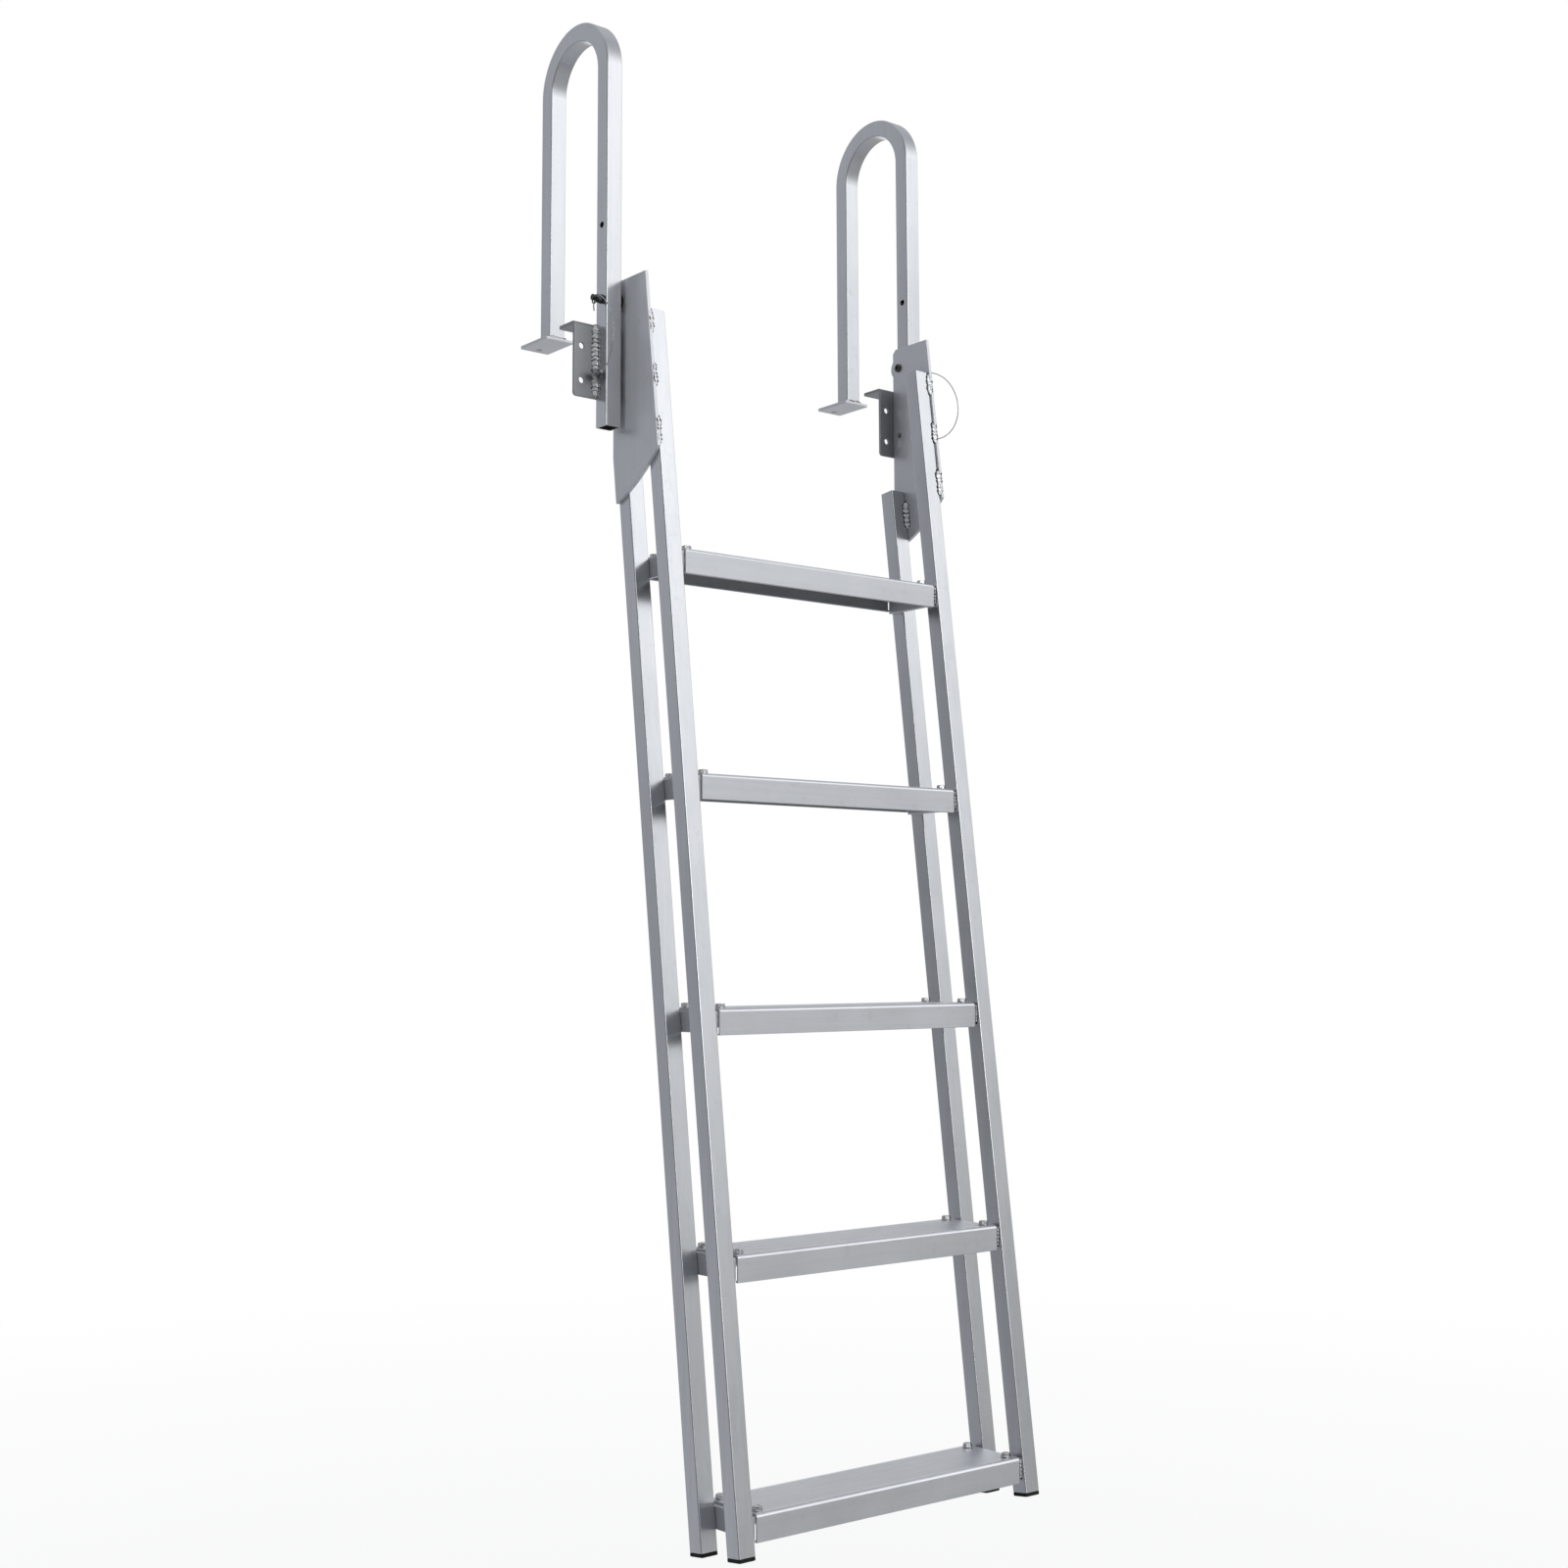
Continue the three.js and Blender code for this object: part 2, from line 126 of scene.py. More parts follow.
CAMERA_PLACE = (-1842.9, -2325.4, -858.2)
CAMERA_LENS, CAMERA_SHIFT = 47.97, -0.0375
CAMERA_TURN, CAMERA_PITCH, CAMERA_ROLL = radians(39.023), radians(6.355), radians(-0.254)


def make_camera():
    level = cos(CAMERA_PITCH)
    ahead = Vector((sin(CAMERA_TURN) * level, cos(CAMERA_TURN) * level, sin(CAMERA_PITCH)))
    right = ahead.cross(Vector((0, 0, 1))).normalized()
    up = right.cross(ahead)
    turned_right = right * cos(CAMERA_ROLL) + up * sin(CAMERA_ROLL)
    turned_up = up * cos(CAMERA_ROLL) - right * sin(CAMERA_ROLL)
    data = bpy.data.cameras.new("camera")
    data.sensor_width = 36.0
    data.lens = CAMERA_LENS
    data.shift_y = CAMERA_SHIFT
    data.clip_end = 200.0
    camera = bpy.data.objects.new("camera", data)
    axes = Matrix((turned_right, turned_up, -ahead)).transposed()
    camera.matrix_world = Matrix.Translation(Vector(CAMERA_PLACE) * MM) @ axes.to_4x4()
    bpy.context.scene.collection.objects.link(camera)
    bpy.context.scene.camera = camera


make_camera()

# ---- Materials -------------------------------------------------------------------------------


class Nodes:
    """A material's node tree, with short ways to add and join nodes."""

    def __init__(self, name):
        self.material = bpy.data.materials.new(name)
        self.material.use_nodes = True
        self.tree = self.material.node_tree
        self.shader = self.tree.nodes["Principled BSDF"]

    def add(self, kind, **values):
        node = self.tree.nodes.new(kind)
        for key, value in values.items():
            if key in node.inputs:
                node.inputs[key].default_value = value
            else:
                setattr(node, key, value)
        return node

    def join(self, output, entry):
        self.tree.links.new(output, entry)

    def place(self, scale, tilt=0.0):
        """The piece's own coordinates, turned about X and scaled."""
        coordinates = self.add("ShaderNodeTexCoord")
        mapping = self.add("ShaderNodeMapping", Scale=scale, Rotation=(tilt, 0, 0))
        self.join(coordinates.outputs["Object"], mapping.inputs["Vector"])
        return mapping.outputs["Vector"]

    def noise(self, vector, scale, detail=4.0, roughness=0.55):
        texture = self.add("ShaderNodeTexNoise", Scale=scale, Detail=detail, Roughness=roughness)
        self.join(vector, texture.inputs["Vector"])
        return texture.outputs["Fac"]

    def ramp(self, value, *stops):
        """Colours or greys at places from 0 to 1."""
        ramp = self.add("ShaderNodeValToRGB")
        elements = ramp.color_ramp.elements
        while len(elements) < len(stops):
            elements.new(1.0)
        for element, (place, colour) in zip(elements, stops):
            element.position = place
            element.color = colour if len(colour) == 4 else (*colour, 1.0)
        self.join(value, ramp.inputs["Fac"])
        return ramp.outputs["Color"]

    def range(self, value, low, high, start=0.3, end=0.7):
        node = self.add("ShaderNodeMapRange")
        for key, number in (("From Min", start), ("From Max", end), ("To Min", low), ("To Max", high)):
            node.inputs[key].default_value = number
        self.join(value, node.inputs["Value"])
        return node.outputs["Result"]

    def mix(self, share, first, second, blend="MIX"):
        node = self.add("ShaderNodeMix", data_type="RGBA", blend_type=blend)
        for entry, source in ((node.inputs[0], share), (node.inputs[6], first), (node.inputs[7], second)):
            if isinstance(source, bpy.types.NodeSocket):
                self.join(source, entry)
            else:
                entry.default_value = source
        return node.outputs[2]

    def bump(self, *layers):
        """Heights with their depths in millimetres, one over another."""
        below = None
        for height, depth in layers:
            node = self.add("ShaderNodeBump", Strength=1.0, Distance=depth * MM)
            self.join(height, node.inputs["Height"])
            if below:
                self.join(below, node.inputs["Normal"])
            below = node.outputs["Normal"]
        self.join(below, self.shader.inputs["Normal"])


def grey(value, tint=(1.0, 1.0, 1.0)):
    return tuple(value * channel for channel in tint) + (1.0,)


COOL = (0.965, 0.98, 1.0)
WARM = (1.0, 0.97, 0.93)
EVENLY = (1, 1, 1)


def aluminium(name, tone, roughness, along, tilt=0.0, depth=0.02, metallic=1.0):
    """Satin aluminium with drawing lines along one axis, cloudy patches and faint handling marks."""
    nodes = Nodes(name)
    stretch = [1.0, 1.0, 1.0]
    stretch["XYZ".index(along)] = 0.02
    lines = nodes.noise(nodes.place(stretch, tilt), 900.0, 3.0)
    streaks = nodes.noise(nodes.place(stretch, tilt), 160.0, 2.0)
    clouds = nodes.noise(nodes.place(EVENLY), 9.0, 5.0)
    grain = nodes.noise(nodes.place(EVENLY), 2600.0, 2.0)
    marks = nodes.noise(nodes.place(EVENLY), 55.0, 6.0, 0.7)
    base = nodes.ramp(clouds, (0.25, grey(tone * 0.93, COOL)), (0.75, grey(tone * 1.05, COOL)))
    streaked = nodes.mix(0.35, base, nodes.ramp(streaks, (0.3, grey(0.86)), (0.7, grey(1.0))), "MULTIPLY")
    marked = nodes.mix(0.30, streaked, nodes.ramp(marks, (0.28, grey(0.72)), (0.42, grey(1.0))), "MULTIPLY")
    nodes.join(marked, nodes.shader.inputs["Base Color"])
    rough = nodes.mix(0.5, nodes.range(clouds, roughness - 0.05, roughness + 0.06),
                      nodes.range(lines, roughness - 0.05, roughness + 0.07))
    nodes.join(rough, nodes.shader.inputs["Roughness"])
    nodes.shader.inputs["Metallic"].default_value = metallic
    nodes.bump((grain, depth * 0.4), (lines, depth))
    return nodes.material


def weld_metal():
    """Bright ripples over patches of dark oxide, with painted shade in the valleys between them and along the
    toes.
    """
    nodes = Nodes("weld_metal")
    spatter = nodes.noise(nodes.place(EVENLY), 700.0, 5.0, 0.65)
    film = nodes.noise(nodes.place(EVENLY), 190.0, 4.0, 0.6)
    # This attribute darkens the valleys, toes and root of the beads: painted shade.
    ripple_shade = nodes.add("ShaderNodeAttribute", attribute_name="ripple_shade").outputs["Fac"]
    valleys = nodes.ramp(ripple_shade, (0.12, grey(0.02, WARM)), (0.38, grey(0.50)), (0.55, grey(1.0)))
    oxide = nodes.ramp(film, (0.32, grey(0.35, WARM)), (0.40, grey(0.92)), (0.60, grey(1.0)))
    nodes.join(nodes.mix(1.0, oxide, valleys, "MULTIPLY"), nodes.shader.inputs["Base Color"])
    nodes.join(nodes.range(spatter, 0.12, 0.32), nodes.shader.inputs["Roughness"])
    nodes.shader.inputs["Metallic"].default_value = 0.4
    nodes.bump((spatter, 0.3), (film, 0.9))
    return nodes.material


def moulded_plastic():
    nodes = Nodes("black_plastic")
    grain = nodes.noise(nodes.place(EVENLY), 1400.0, 3.0)
    scuffs = nodes.noise(nodes.place(EVENLY), 45.0, 6.0, 0.7)
    nodes.join(nodes.ramp(scuffs, (0.35, grey(0.004)), (0.75, grey(0.012))),
               nodes.shader.inputs["Base Color"])
    nodes.join(nodes.range(scuffs, 0.42, 0.6), nodes.shader.inputs["Roughness"])
    nodes.shader.inputs["Specular IOR Level"].default_value = 0.22
    nodes.bump((grain, 0.06))
    return nodes.material


def steel(name, tone, roughness):
    """Turned stainless steel with fine marks and dull patches."""
    nodes = Nodes(name)
    marks = nodes.noise(nodes.place((1, 1, 0.2)), 1800.0, 3.0)
    patches = nodes.noise(nodes.place(EVENLY), 260.0, 4.0, 0.6)
    nodes.join(nodes.ramp(patches, (0.32, grey(tone * 0.55)), (0.62, grey(tone * 1.15))),
               nodes.shader.inputs["Base Color"])
    nodes.join(nodes.range(patches, roughness - 0.06, roughness + 0.1), nodes.shader.inputs["Roughness"])
    nodes.shader.inputs["Metallic"].default_value = 1.0
    nodes.bump((marks, 0.03), (patches, 0.05))
    return nodes.material


TUBE_METAL = aluminium("tube_aluminium", 0.66, 0.21, "Z")
RAIL_METAL = aluminium("rail_aluminium", 0.66, 0.22, "Z", tilt=LEAN)
PLATE_METAL = aluminium("plate_aluminium", 0.80, 0.38, "Z", depth=0.015, metallic=0.6)
# The dock brackets' metal is a darker copy of the plate aluminium: painted shade.
SHADED_BRACKET_METAL = aluminium("bracket_aluminium_painted_shade", 0.38, 0.45, "Z", depth=0.015, metallic=0.8)
STEP_METAL = aluminium("step_aluminium", 0.69, 0.48, "X")
# The steps' upward faces get a lighter copy of the step aluminium: painted light.
LIT_TREAD_METAL = aluminium("tread_aluminium_painted_light", 0.90, 0.39, "X")
# The insides of the step channels get a darker copy of the step aluminium: painted shade.
SHADED_INSIDE_METAL = aluminium("inside_aluminium_painted_shade", 0.50, 0.50, "X", depth=0.05)
WELD_METAL = weld_metal()
BLACK_PLASTIC = moulded_plastic()
BOLT_STEEL = steel("bolt_steel", 0.62, 0.26)
DARK_STEEL = steel("dark_steel", 0.11, 0.22)
PIN_STEEL = steel("pin_steel", 0.42, 0.24)
WIRE_STEEL = steel("wire_steel", 0.50, 0.30)

# ---- Mesh tools, in millimetres ----------------------------------------------------------------

WELD_SMOOTH = 70.0               # sharpest angle, in degrees, that a weld bead is shaded smoothly over


def finish_mesh(name, mesh, body, material, replaces=(), smooth=32.0):
    """Puts a mesh in the scene as a piece that rides on a body."""
    mesh.name = name
    piece = bpy.data.objects.new(name, mesh)
    bpy.context.scene.collection.objects.link(piece)
    for entry in material if isinstance(material, (list, tuple)) else [material]:
        mesh.materials.append(entry)
    mesh.shade_smooth()
    mesh.set_sharp_from_angle(angle=radians(smooth))
    weighted = piece.modifiers.new("even_normals", "WEIGHTED_NORMAL")
    weighted.keep_sharp = True
    if body:
        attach(piece, body)
    if replaces:
        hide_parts(*replaces)
    return piece


def clean(mesh):
    """Joins doubled points and turns every face outwards."""
    work = bmesh.new()
    work.from_mesh(mesh)
    bmesh.ops.remove_doubles(work, verts=work.verts, dist=1e-6)
    bmesh.ops.recalc_face_normals(work, faces=work.faces)
    work.to_mesh(mesh)
    work.free()
    return mesh


def mirrored(mesh, side):
    """The mesh itself for the right side, or its mirror image for the left."""
    if side < 0:
        mesh.transform(Matrix.Diagonal((-1, 1, 1, 1)))
        mesh.flip_normals()
    return mesh


def loft(rings, loop=False, shades=None):
    """A closed skin through rings of equally many points. A loop joins the last ring to the first.

    shades, painted shade, are kept with the points as a float attribute that the weld material reads.
    """
    count = len(rings[0])
    points = [Vector(point) * MM for ring in rings for point in ring]
    faces = []
    for index in range(len(rings) if loop else len(rings) - 1):
        a, b = index * count, (index + 1) % len(rings) * count
        for k in range(count):
            after = (k + 1) % count
            faces.append((a + k, a + after, b + after, b + k))
    if not loop:
        faces.append(tuple(reversed(range(count))))
        faces.append(tuple(range(len(points) - count, len(points))))
    mesh = bpy.data.meshes.new("loft")
    mesh.from_pydata(points, [], faces)
    if shades:
        mesh.attributes.new("ripple_shade", "FLOAT", "POINT").data.foreach_set("value", shades)
    return clean(mesh)


def slab(outline, holes, thickness, edge, axes, origin=(0, 0, 0)):
    """A plate with a rounded edge: its outline and holes lie in the first two axes, its middle at origin."""
    curve = bpy.data.curves.new("outline", "CURVE")
    curve.dimensions = "2D"
    curve.fill_mode = "BOTH"
    for points in (outline, *holes):
        spline = curve.splines.new("POLY")
        spline.points.add(len(points) - 1)
        for entry, (a, b) in zip(spline.points, points):
            entry.co = (a, b, 0, 1)
        spline.use_cyclic_u = True
    curve.extrude = thickness / 2 - edge
    curve.bevel_depth = edge
    curve.bevel_resolution = 1
    curve.offset = -edge
    holder = bpy.data.objects.new("outline", curve)
    bpy.context.scene.collection.objects.link(holder)
    bpy.context.view_layer.update()
    mesh = bpy.data.meshes.new_from_object(holder.evaluated_get(bpy.context.evaluated_depsgraph_get()))
    bpy.data.objects.remove(holder)
    bpy.data.curves.remove(curve)
    turn = Matrix([Vector(axis) for axis in axes]).transposed().to_4x4()
    mesh.transform(Matrix.Scale(MM, 4) @ Matrix.Translation(origin) @ turn)
    return clean(mesh)


def cut(mesh, cutter):
    """The mesh less the cutter."""
    objects = [bpy.data.objects.new(name, data) for name, data in (("body", mesh), ("cutter", cutter))]
    for entry in objects:
        bpy.context.scene.collection.objects.link(entry)
    difference = objects[0].modifiers.new("cut", "BOOLEAN")
    difference.object = objects[1]
    difference.operation = "DIFFERENCE"
    difference.solver = "EXACT"
    bpy.context.view_layer.update()
    result = bpy.data.meshes.new_from_object(objects[0].evaluated_get(bpy.context.evaluated_depsgraph_get()))
    for entry in objects:
        bpy.data.objects.remove(entry)
    return result


def arc(centre, radius, start, end, steps):
    """Points of an arc, both ends included, in radians."""
    turns = [start + (end - start) * k / steps for k in range(steps + 1)]
    return [(centre[0] + radius * cos(turn), centre[1] + radius * sin(turn)) for turn in turns]


def circle(centre, radius, steps=28):
    return arc(centre, radius, 0, 2 * pi * (steps - 1) / steps, steps - 1)


def rounded_square(width, radius, centre=(0, 0), steps=4):
    half = width / 2 - radius
    corners = ((half, half), (-half, half), (-half, -half), (half, -half))
    return [point for quarter, (a, b) in enumerate(corners)
            for point in arc((centre[0] + a, centre[1] + b), radius, quarter * pi / 2,
                             (quarter + 1) * pi / 2, steps)]


def rounded(corners, radii, steps=4):
    """A closed outline whose corners are rounded by their own radii; 0 keeps a corner sharp."""
    points = []
    count = len(corners)
    for index, radius in enumerate(radii):
        here, before, after = (Vector(corners[k % count]) for k in (index, index - 1, index + 1))
        if not radius:
            points.append(tuple(here))
            continue
        inward, outward = (before - here).normalized(), (after - here).normalized()
        half = acos(max(-1.0, min(1.0, inward.dot(outward)))) / 2
        centre = here + (inward + outward).normalized() * (radius / sin(half))
        first, last = (here + way * (radius / tan(half)) - centre for way in (inward, outward))
        start = atan2(first.y, first.x)
        turn = (atan2(last.y, last.x) - start + pi) % (2 * pi) - pi
        points += arc(centre, radius, start, start + turn, steps)
    return points


AXES = {
    "X": ((0, 1, 0), (0, 0, 1), (1, 0, 0)),     # drawn in y and z, standing along X
    "Y": ((0, 0, 1), (1, 0, 0), (0, 1, 0)),
    "Z": ((1, 0, 0), (0, 1, 0), (0, 0, 1)),
}


def turned(profile, axis, origin, segments=48):
    """A turned piece: (place along the axis, radius, across flats or 0) from one end to the other."""
    across, up, along = (Vector(direction) for direction in AXES[axis])
    origin = Vector(origin)
    rings = []
    for place, radius, flats in profile:
        ring = []
        for k in range(segments):
            angle = 2 * pi * k / segments
            reach = radius
            if flats:
                sector = (angle + pi / 6) % (pi / 3) - pi / 6
                reach = min(radius, flats / 2 / cos(sector))
            ring.append(origin + along * place + across * (reach * cos(angle)) + up * (reach * sin(angle)))
        rings.append(ring)
    return loft(rings)


def hexagon(start, height, flats, tops=(True, True)):
    """Profile of a hexagon, with chamfered corners at the ends named in tops."""
    corner = flats / 2 / cos(pi / 6)
    steps = [(0.0, 0.485 * flats), (0.25, 0.515 * flats), (0.5, 0.545 * flats), (0.8, corner)]
    low = steps if tops[0] else [(0.0, corner)]
    high = steps if tops[1] else [(0.0, corner)]
    return ([(start + depth, radius, flats) for depth, radius in low]
            + [(start + height - depth, radius, flats) for depth, radius in reversed(high)])


def thread(start, end, radius, pitch=1.25, depth=0.45):
    """Profile of a threaded stretch with a chamfered tip."""
    turns = max(1, round(abs(end - start) / pitch))
    step = (end - start) / turns
    profile = []
    for turn in range(turns):
        place = start + turn * step
        profile += [(place, radius - depth, 0),
                    (place + 0.4 * step, radius, 0), (place + 0.6 * step, radius, 0)]
    return profile + [(end - 0.1 * step, radius - depth, 0), (end, radius - depth - 0.5, 0)]


def spline_points(points, per_span):
    """A smooth curve through points, per_span pieces between each two."""
    path = [Vector(point) for point in points]
    padded = [2 * path[0] - path[1], *path, 2 * path[-1] - path[-2]]
    knots = [0.0]
    for a, b in zip(padded, padded[1:]):
        knots.append(knots[-1] + sqrt((b - a).length))
    result = []
    for index in range(1, len(padded) - 2):
        t0, t1, t2, t3 = knots[index - 1:index + 3]
        p0, p1, p2, p3 = padded[index - 1:index + 3]
        for k in range(per_span):
            t = t1 + (t2 - t1) * k / per_span
            a1 = ((t1 - t) * p0 + (t - t0) * p1) / (t1 - t0)
            a2 = ((t2 - t) * p1 + (t - t1) * p2) / (t2 - t1)
            a3 = ((t3 - t) * p2 + (t - t2) * p3) / (t3 - t2)
            b1 = ((t2 - t) * a1 + (t - t0) * a2) / (t2 - t0)
            b2 = ((t3 - t) * a2 + (t - t1) * a3) / (t3 - t1)
            result.append(((t2 - t) * b1 + (t - t1) * b2) / (t2 - t1))
    return result + [path[-1]]


def sweep(path, section):
    """A closed tube along a path; section(index, angle) gives the radius, 12 points round."""
    rings = []
    side = Vector((0, 0, 1)).cross(path[1] - path[0])
    side = side if side.length > 1e-6 else Vector((0, 1, 0))
    for index, point in enumerate(path):
        ahead = (path[min(index + 1, len(path) - 1)] - path[max(index - 1, 0)]).normalized()
        side = (side - ahead * side.dot(ahead)).normalized()
        up = ahead.cross(side)
        angles = [2 * pi * k / 12 for k in range(12)]
        rings.append([point + side * (section(index, a) * cos(a)) + up * (section(index, a) * sin(a))
                      for a in angles])
    return loft(rings)


def bead(start, end, first, second, seed, ripple=5.0, outline=0.33):
    """A rippled weld bead in a corner line from start to end; first and second are its legs, in millimetres.

    outline is the share of its width that is darkened along its toes, as painted shade.
    """
    start, end, first, second = (Vector(entry) for entry in (start, end, first, second))
    ahead = (end - start).normalized()
    length = (end - start).length
    reach = (first.length + second.length) / 2
    stations = max(6, ceil(length / 0.4))
    rings, shades = [], []
    for station in range(stations + 1):
        place = length * station / stations
        phase = (place + 0.45 * ripple * noise((place * 0.2, seed, 0))) / ripple % 1.0
        ends = min(1.0, sqrt(max(0.0, min(place, length - place)) / reach + 0.03))
        swell = ends * (1.0 - 0.32 * phase + 0.26 * noise((place * 0.28, seed, 7.7)))
        wander = 0.2 * ends * noise((place * 0.25, seed, 3.1))
        valley = max(0.0, 1.0 - min(phase, 1.0 - phase) / 0.12)
        ring = []
        for k in range(13):
            turn = pi / 2 * k / 12
            crescent = 0.42 * ripple * sin(2 * turn)
            ring.append(start + ahead * min(length, place + crescent)
                        + first * ((swell + wander) * cos(turn) ** 1.45)
                        + second * ((swell - wander) * sin(turn) ** 1.45))
            # Painted shade along the toes and in the valleys between ripples.
            toe = min(1.0, (1.0 - max(cos(turn), sin(turn)) ** 1.45) / outline)
            grain = 1.0 + 0.5 * noise((place * 0.9, seed, turn * 2))
            shades.append(max(0.0, min(1.0, toe * grain * (1.0 - 0.92 * valley))))
        # The root, sunk into the corner, gets painted shade.
        ring.append(start + ahead * place - (first + second) * (0.9 / reach))
        shades.append(0.2)
        rings.append(ring)
    return loft(rings, shades=shades)


def joined(meshes):
    """Several closed shells as one mesh."""
    work = bmesh.new()
    for mesh in meshes:
        work.from_mesh(mesh)
    mesh = bpy.data.meshes.new("joined")
    work.to_mesh(mesh)
    work.free()
    return mesh


# ---- Lanyards ----------------------------------------------------------------------------------

WIRE_RADIUS = 0.75
LANYARD_ROUTE = [
    (301.5, -25, 36.8), (304, -31, 36), (307, -38, 34), (309.8, -45.5, 30.8), (311.8, -53.5, 26),
    (313.2, -62, 19), (314.2, -70, 10), (315, -77, -1), (315.6, -82, -13), (316, -84.5, -26),
    (316, -84, -39), (315.4, -80, -51), (314, -73, -61), (311.6, -63.5, -68), (308, -52.5, -71.5),
    (304, -41, -71.5), (300, -32, -70), (297, -26, -68.5),
]


def strand(index, angle):
    """Three strands laid round each other."""
    lay = 0.16 * index
    return WIRE_RADIUS * (1.0 - 0.16 * (1.0 - abs(cos(1.5 * (angle - lay)))))


def ferrule(path, first, last, side):
    """A sleeve over a stretch of the wire, chamfered at its ends and crimped in the middle."""
    stretch = path[first:last]
    count = len(stretch) - 1

    def section(index, angle):
        crimped = 0.3 < index / count < 0.7
        return 1.9 - 0.35 * (index in (0, count)) - 0.3 * crimped * abs(cos(angle))

    return mirrored(sweep(stretch, section), side)


def wire_ring(centre, radius, wire, turns, tilt=0.0):
    """A split ring round the X axis; tilt swings its lower side outwards."""
    count = int(28 * turns)
    path = []
    for k in range(count + 1):
        angle = 2 * pi * k / 28
        lift = wire * 2.1 * (k / 28 - turns / 2)
        drop = radius * cos(angle)
        path.append(Vector(centre) + Vector((lift * cos(tilt) - drop * sin(tilt), radius * sin(angle),
                                             drop * cos(tilt) + lift * sin(tilt))))
    return sweep(path, lambda index, angle: wire)


def make_lanyard(name, side):
    path = spline_points(LANYARD_ROUTE, 24)
    wire = finish_mesh(f"lanyard_wire_{name}", mirrored(sweep(path, strand), side), None,
                       WIRE_STEEL, [f"lanyard_{name}"], smooth=60.0)
    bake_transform(wire)
    top = finish_mesh(f"lanyard_top_ferrule_{name}", ferrule(path, 6, 40, side), "handles",
                      WIRE_STEEL)
    low = finish_mesh(f"lanyard_pin_ferrule_{name}", ferrule(path, -40, -6, side), f"lock_pin_{name}",
                      WIRE_STEEL)


def make_tail(name, side):
    """The wire's cut end, hanging from the pivot bolt's neck."""
    path = spline_points([(302.5, WATER_LEG_Y - 3.5, PIVOT_Z - 3), (304.5, WATER_LEG_Y - 4, PIVOT_Z - 8),
                          (304.8, WATER_LEG_Y - 3.5, PIVOT_Z - 14),
                          (303.8, WATER_LEG_Y - 3, PIVOT_Z - 20)], 8)
    finish_mesh(f"lanyard_tail_{name}", mirrored(sweep(path, lambda index, angle: 0.8), side), "handles",
                DARK_STEEL, smooth=60.0)


for side_name, side_sign in SIDES.items():
    make_lanyard(side_name, side_sign)
    make_tail(side_name, side_sign)

# ---- Handle loops --------------------------------------------------------------------------------


def handle_rings(width, radius, low_end, dock_end, ease):
    """Rings of a square section up the water leg, round the bend and down the dock leg."""
    stations = [(WATER_LEG_Y, low_end, pi, width - ease), (WATER_LEG_Y, low_end + abs(ease) / 2, pi, width)]
    stations += [(BEND_Y + BEND_RADIUS * cos(turn), BEND_Z + BEND_RADIUS * sin(turn), turn, width)
                 for turn in (pi * (1 - k / 48) for k in range(49))]
    stations += [(DOCK_LEG_Y, dock_end + abs(ease) / 2, 0.0, width),
                 (DOCK_LEG_Y, dock_end, 0.0, width - ease)]
    rings = []
    for y, z, turn, size in stations:
        out = Vector((0, cos(turn), sin(turn)))
        rings.append([Vector((HANDLE_X, y, z)) + Vector((1, 0, 0)) * a + out * b
                      for a, b in rounded_square(size, radius)])
    return rings


def handle_mesh():
    low_end, dock_end = handle_low.z, foot_high.z + GAP
    outside = handle_rings(TUBE, CORNER, low_end, dock_end, 0.7)
    inside = handle_rings(TUBE - 2 * WALL, 0.8, low_end, dock_end, -0.5)
    mesh = loft(outside + inside[::-1], loop=True)
    for z in (PIN_Z, STOW_Z):
        flare = [(HANDLE_IN - 1, SHANK_HOLE + 1.5, 0), (HANDLE_IN + 0.5, SHANK_HOLE, 0),
                 (HANDLE_OUT - 0.5, SHANK_HOLE, 0), (HANDLE_OUT + 1, SHANK_HOLE + 1.5, 0)]
        mesh = cut(mesh, turned(flare, "X", (0, WATER_LEG_Y, z), 32))
    return mesh


def foot_mesh():
    low, high = foot_low, foot_high
    corners = [(low.x, low.y), (high.x, low.y), (high.x, high.y), (low.x, high.y)]
    hole = circle((HANDLE_X, high.y - 13), SCREW_HOLE)
    return slab(rounded(corners, [2.0] * 4), [hole], high.z - low.z, 0.6, AXES["Z"],
                (0, 0, (low.z + high.z) / 2))


BEND_INSIDE = 0.3                # inner radius of the dock bracket's corner


def bracket_mesh():
    """Cut flat, with its upper part then bent back over the deck."""
    low, high = box_mm("dock_bracket_right")
    middle_radius = BEND_INSIDE + ANGLE_THICKNESS / 2
    straight = high.z - ANGLE_THICKNESS - BEND_INSIDE
    bent = middle_radius * pi / 2
    flat_top = straight + bent + high.y - BEND_INSIDE
    corners = [(low.x, low.z), (high.x, low.z), (high.x, flat_top), (low.x, flat_top)]
    holes = [circle((HANDLE_X + offset, z), SCREW_HOLE) for offset in (-35, 35) for z in (-29, -77)]
    mesh = slab(rounded(corners, [5.0, 5.0, 3.0, 3.0]), holes, ANGLE_THICKNESS, 0.5,
                ((1, 0, 0), (0, 0, 1), (0, -1, 0)), (0, -ANGLE_THICKNESS / 2, 0))
    work = bmesh.new()
    work.from_mesh(mesh)
    for k in range(9):
        everything = work.verts[:] + work.edges[:] + work.faces[:]
        bmesh.ops.bisect_plane(work, geom=everything, plane_no=(0, 0, 1),
                               plane_co=(0, 0, (straight + bent * k / 8) * MM))
    for vertex in work.verts:
        outward, up = -vertex.co.y / MM, vertex.co.z / MM
        if up <= straight:
            continue
        turn = min((up - straight) / middle_radius, pi / 2)
        reach = BEND_INSIDE + outward
        beyond = max(0.0, up - straight - bent)
        vertex.co.y = (BEND_INSIDE - reach * cos(turn) + beyond) * MM
        vertex.co.z = (straight + reach * sin(turn)) * MM
    bmesh.ops.recalc_face_normals(work, faces=work.faces)
    work.to_mesh(mesh)
    work.free()
    return mesh


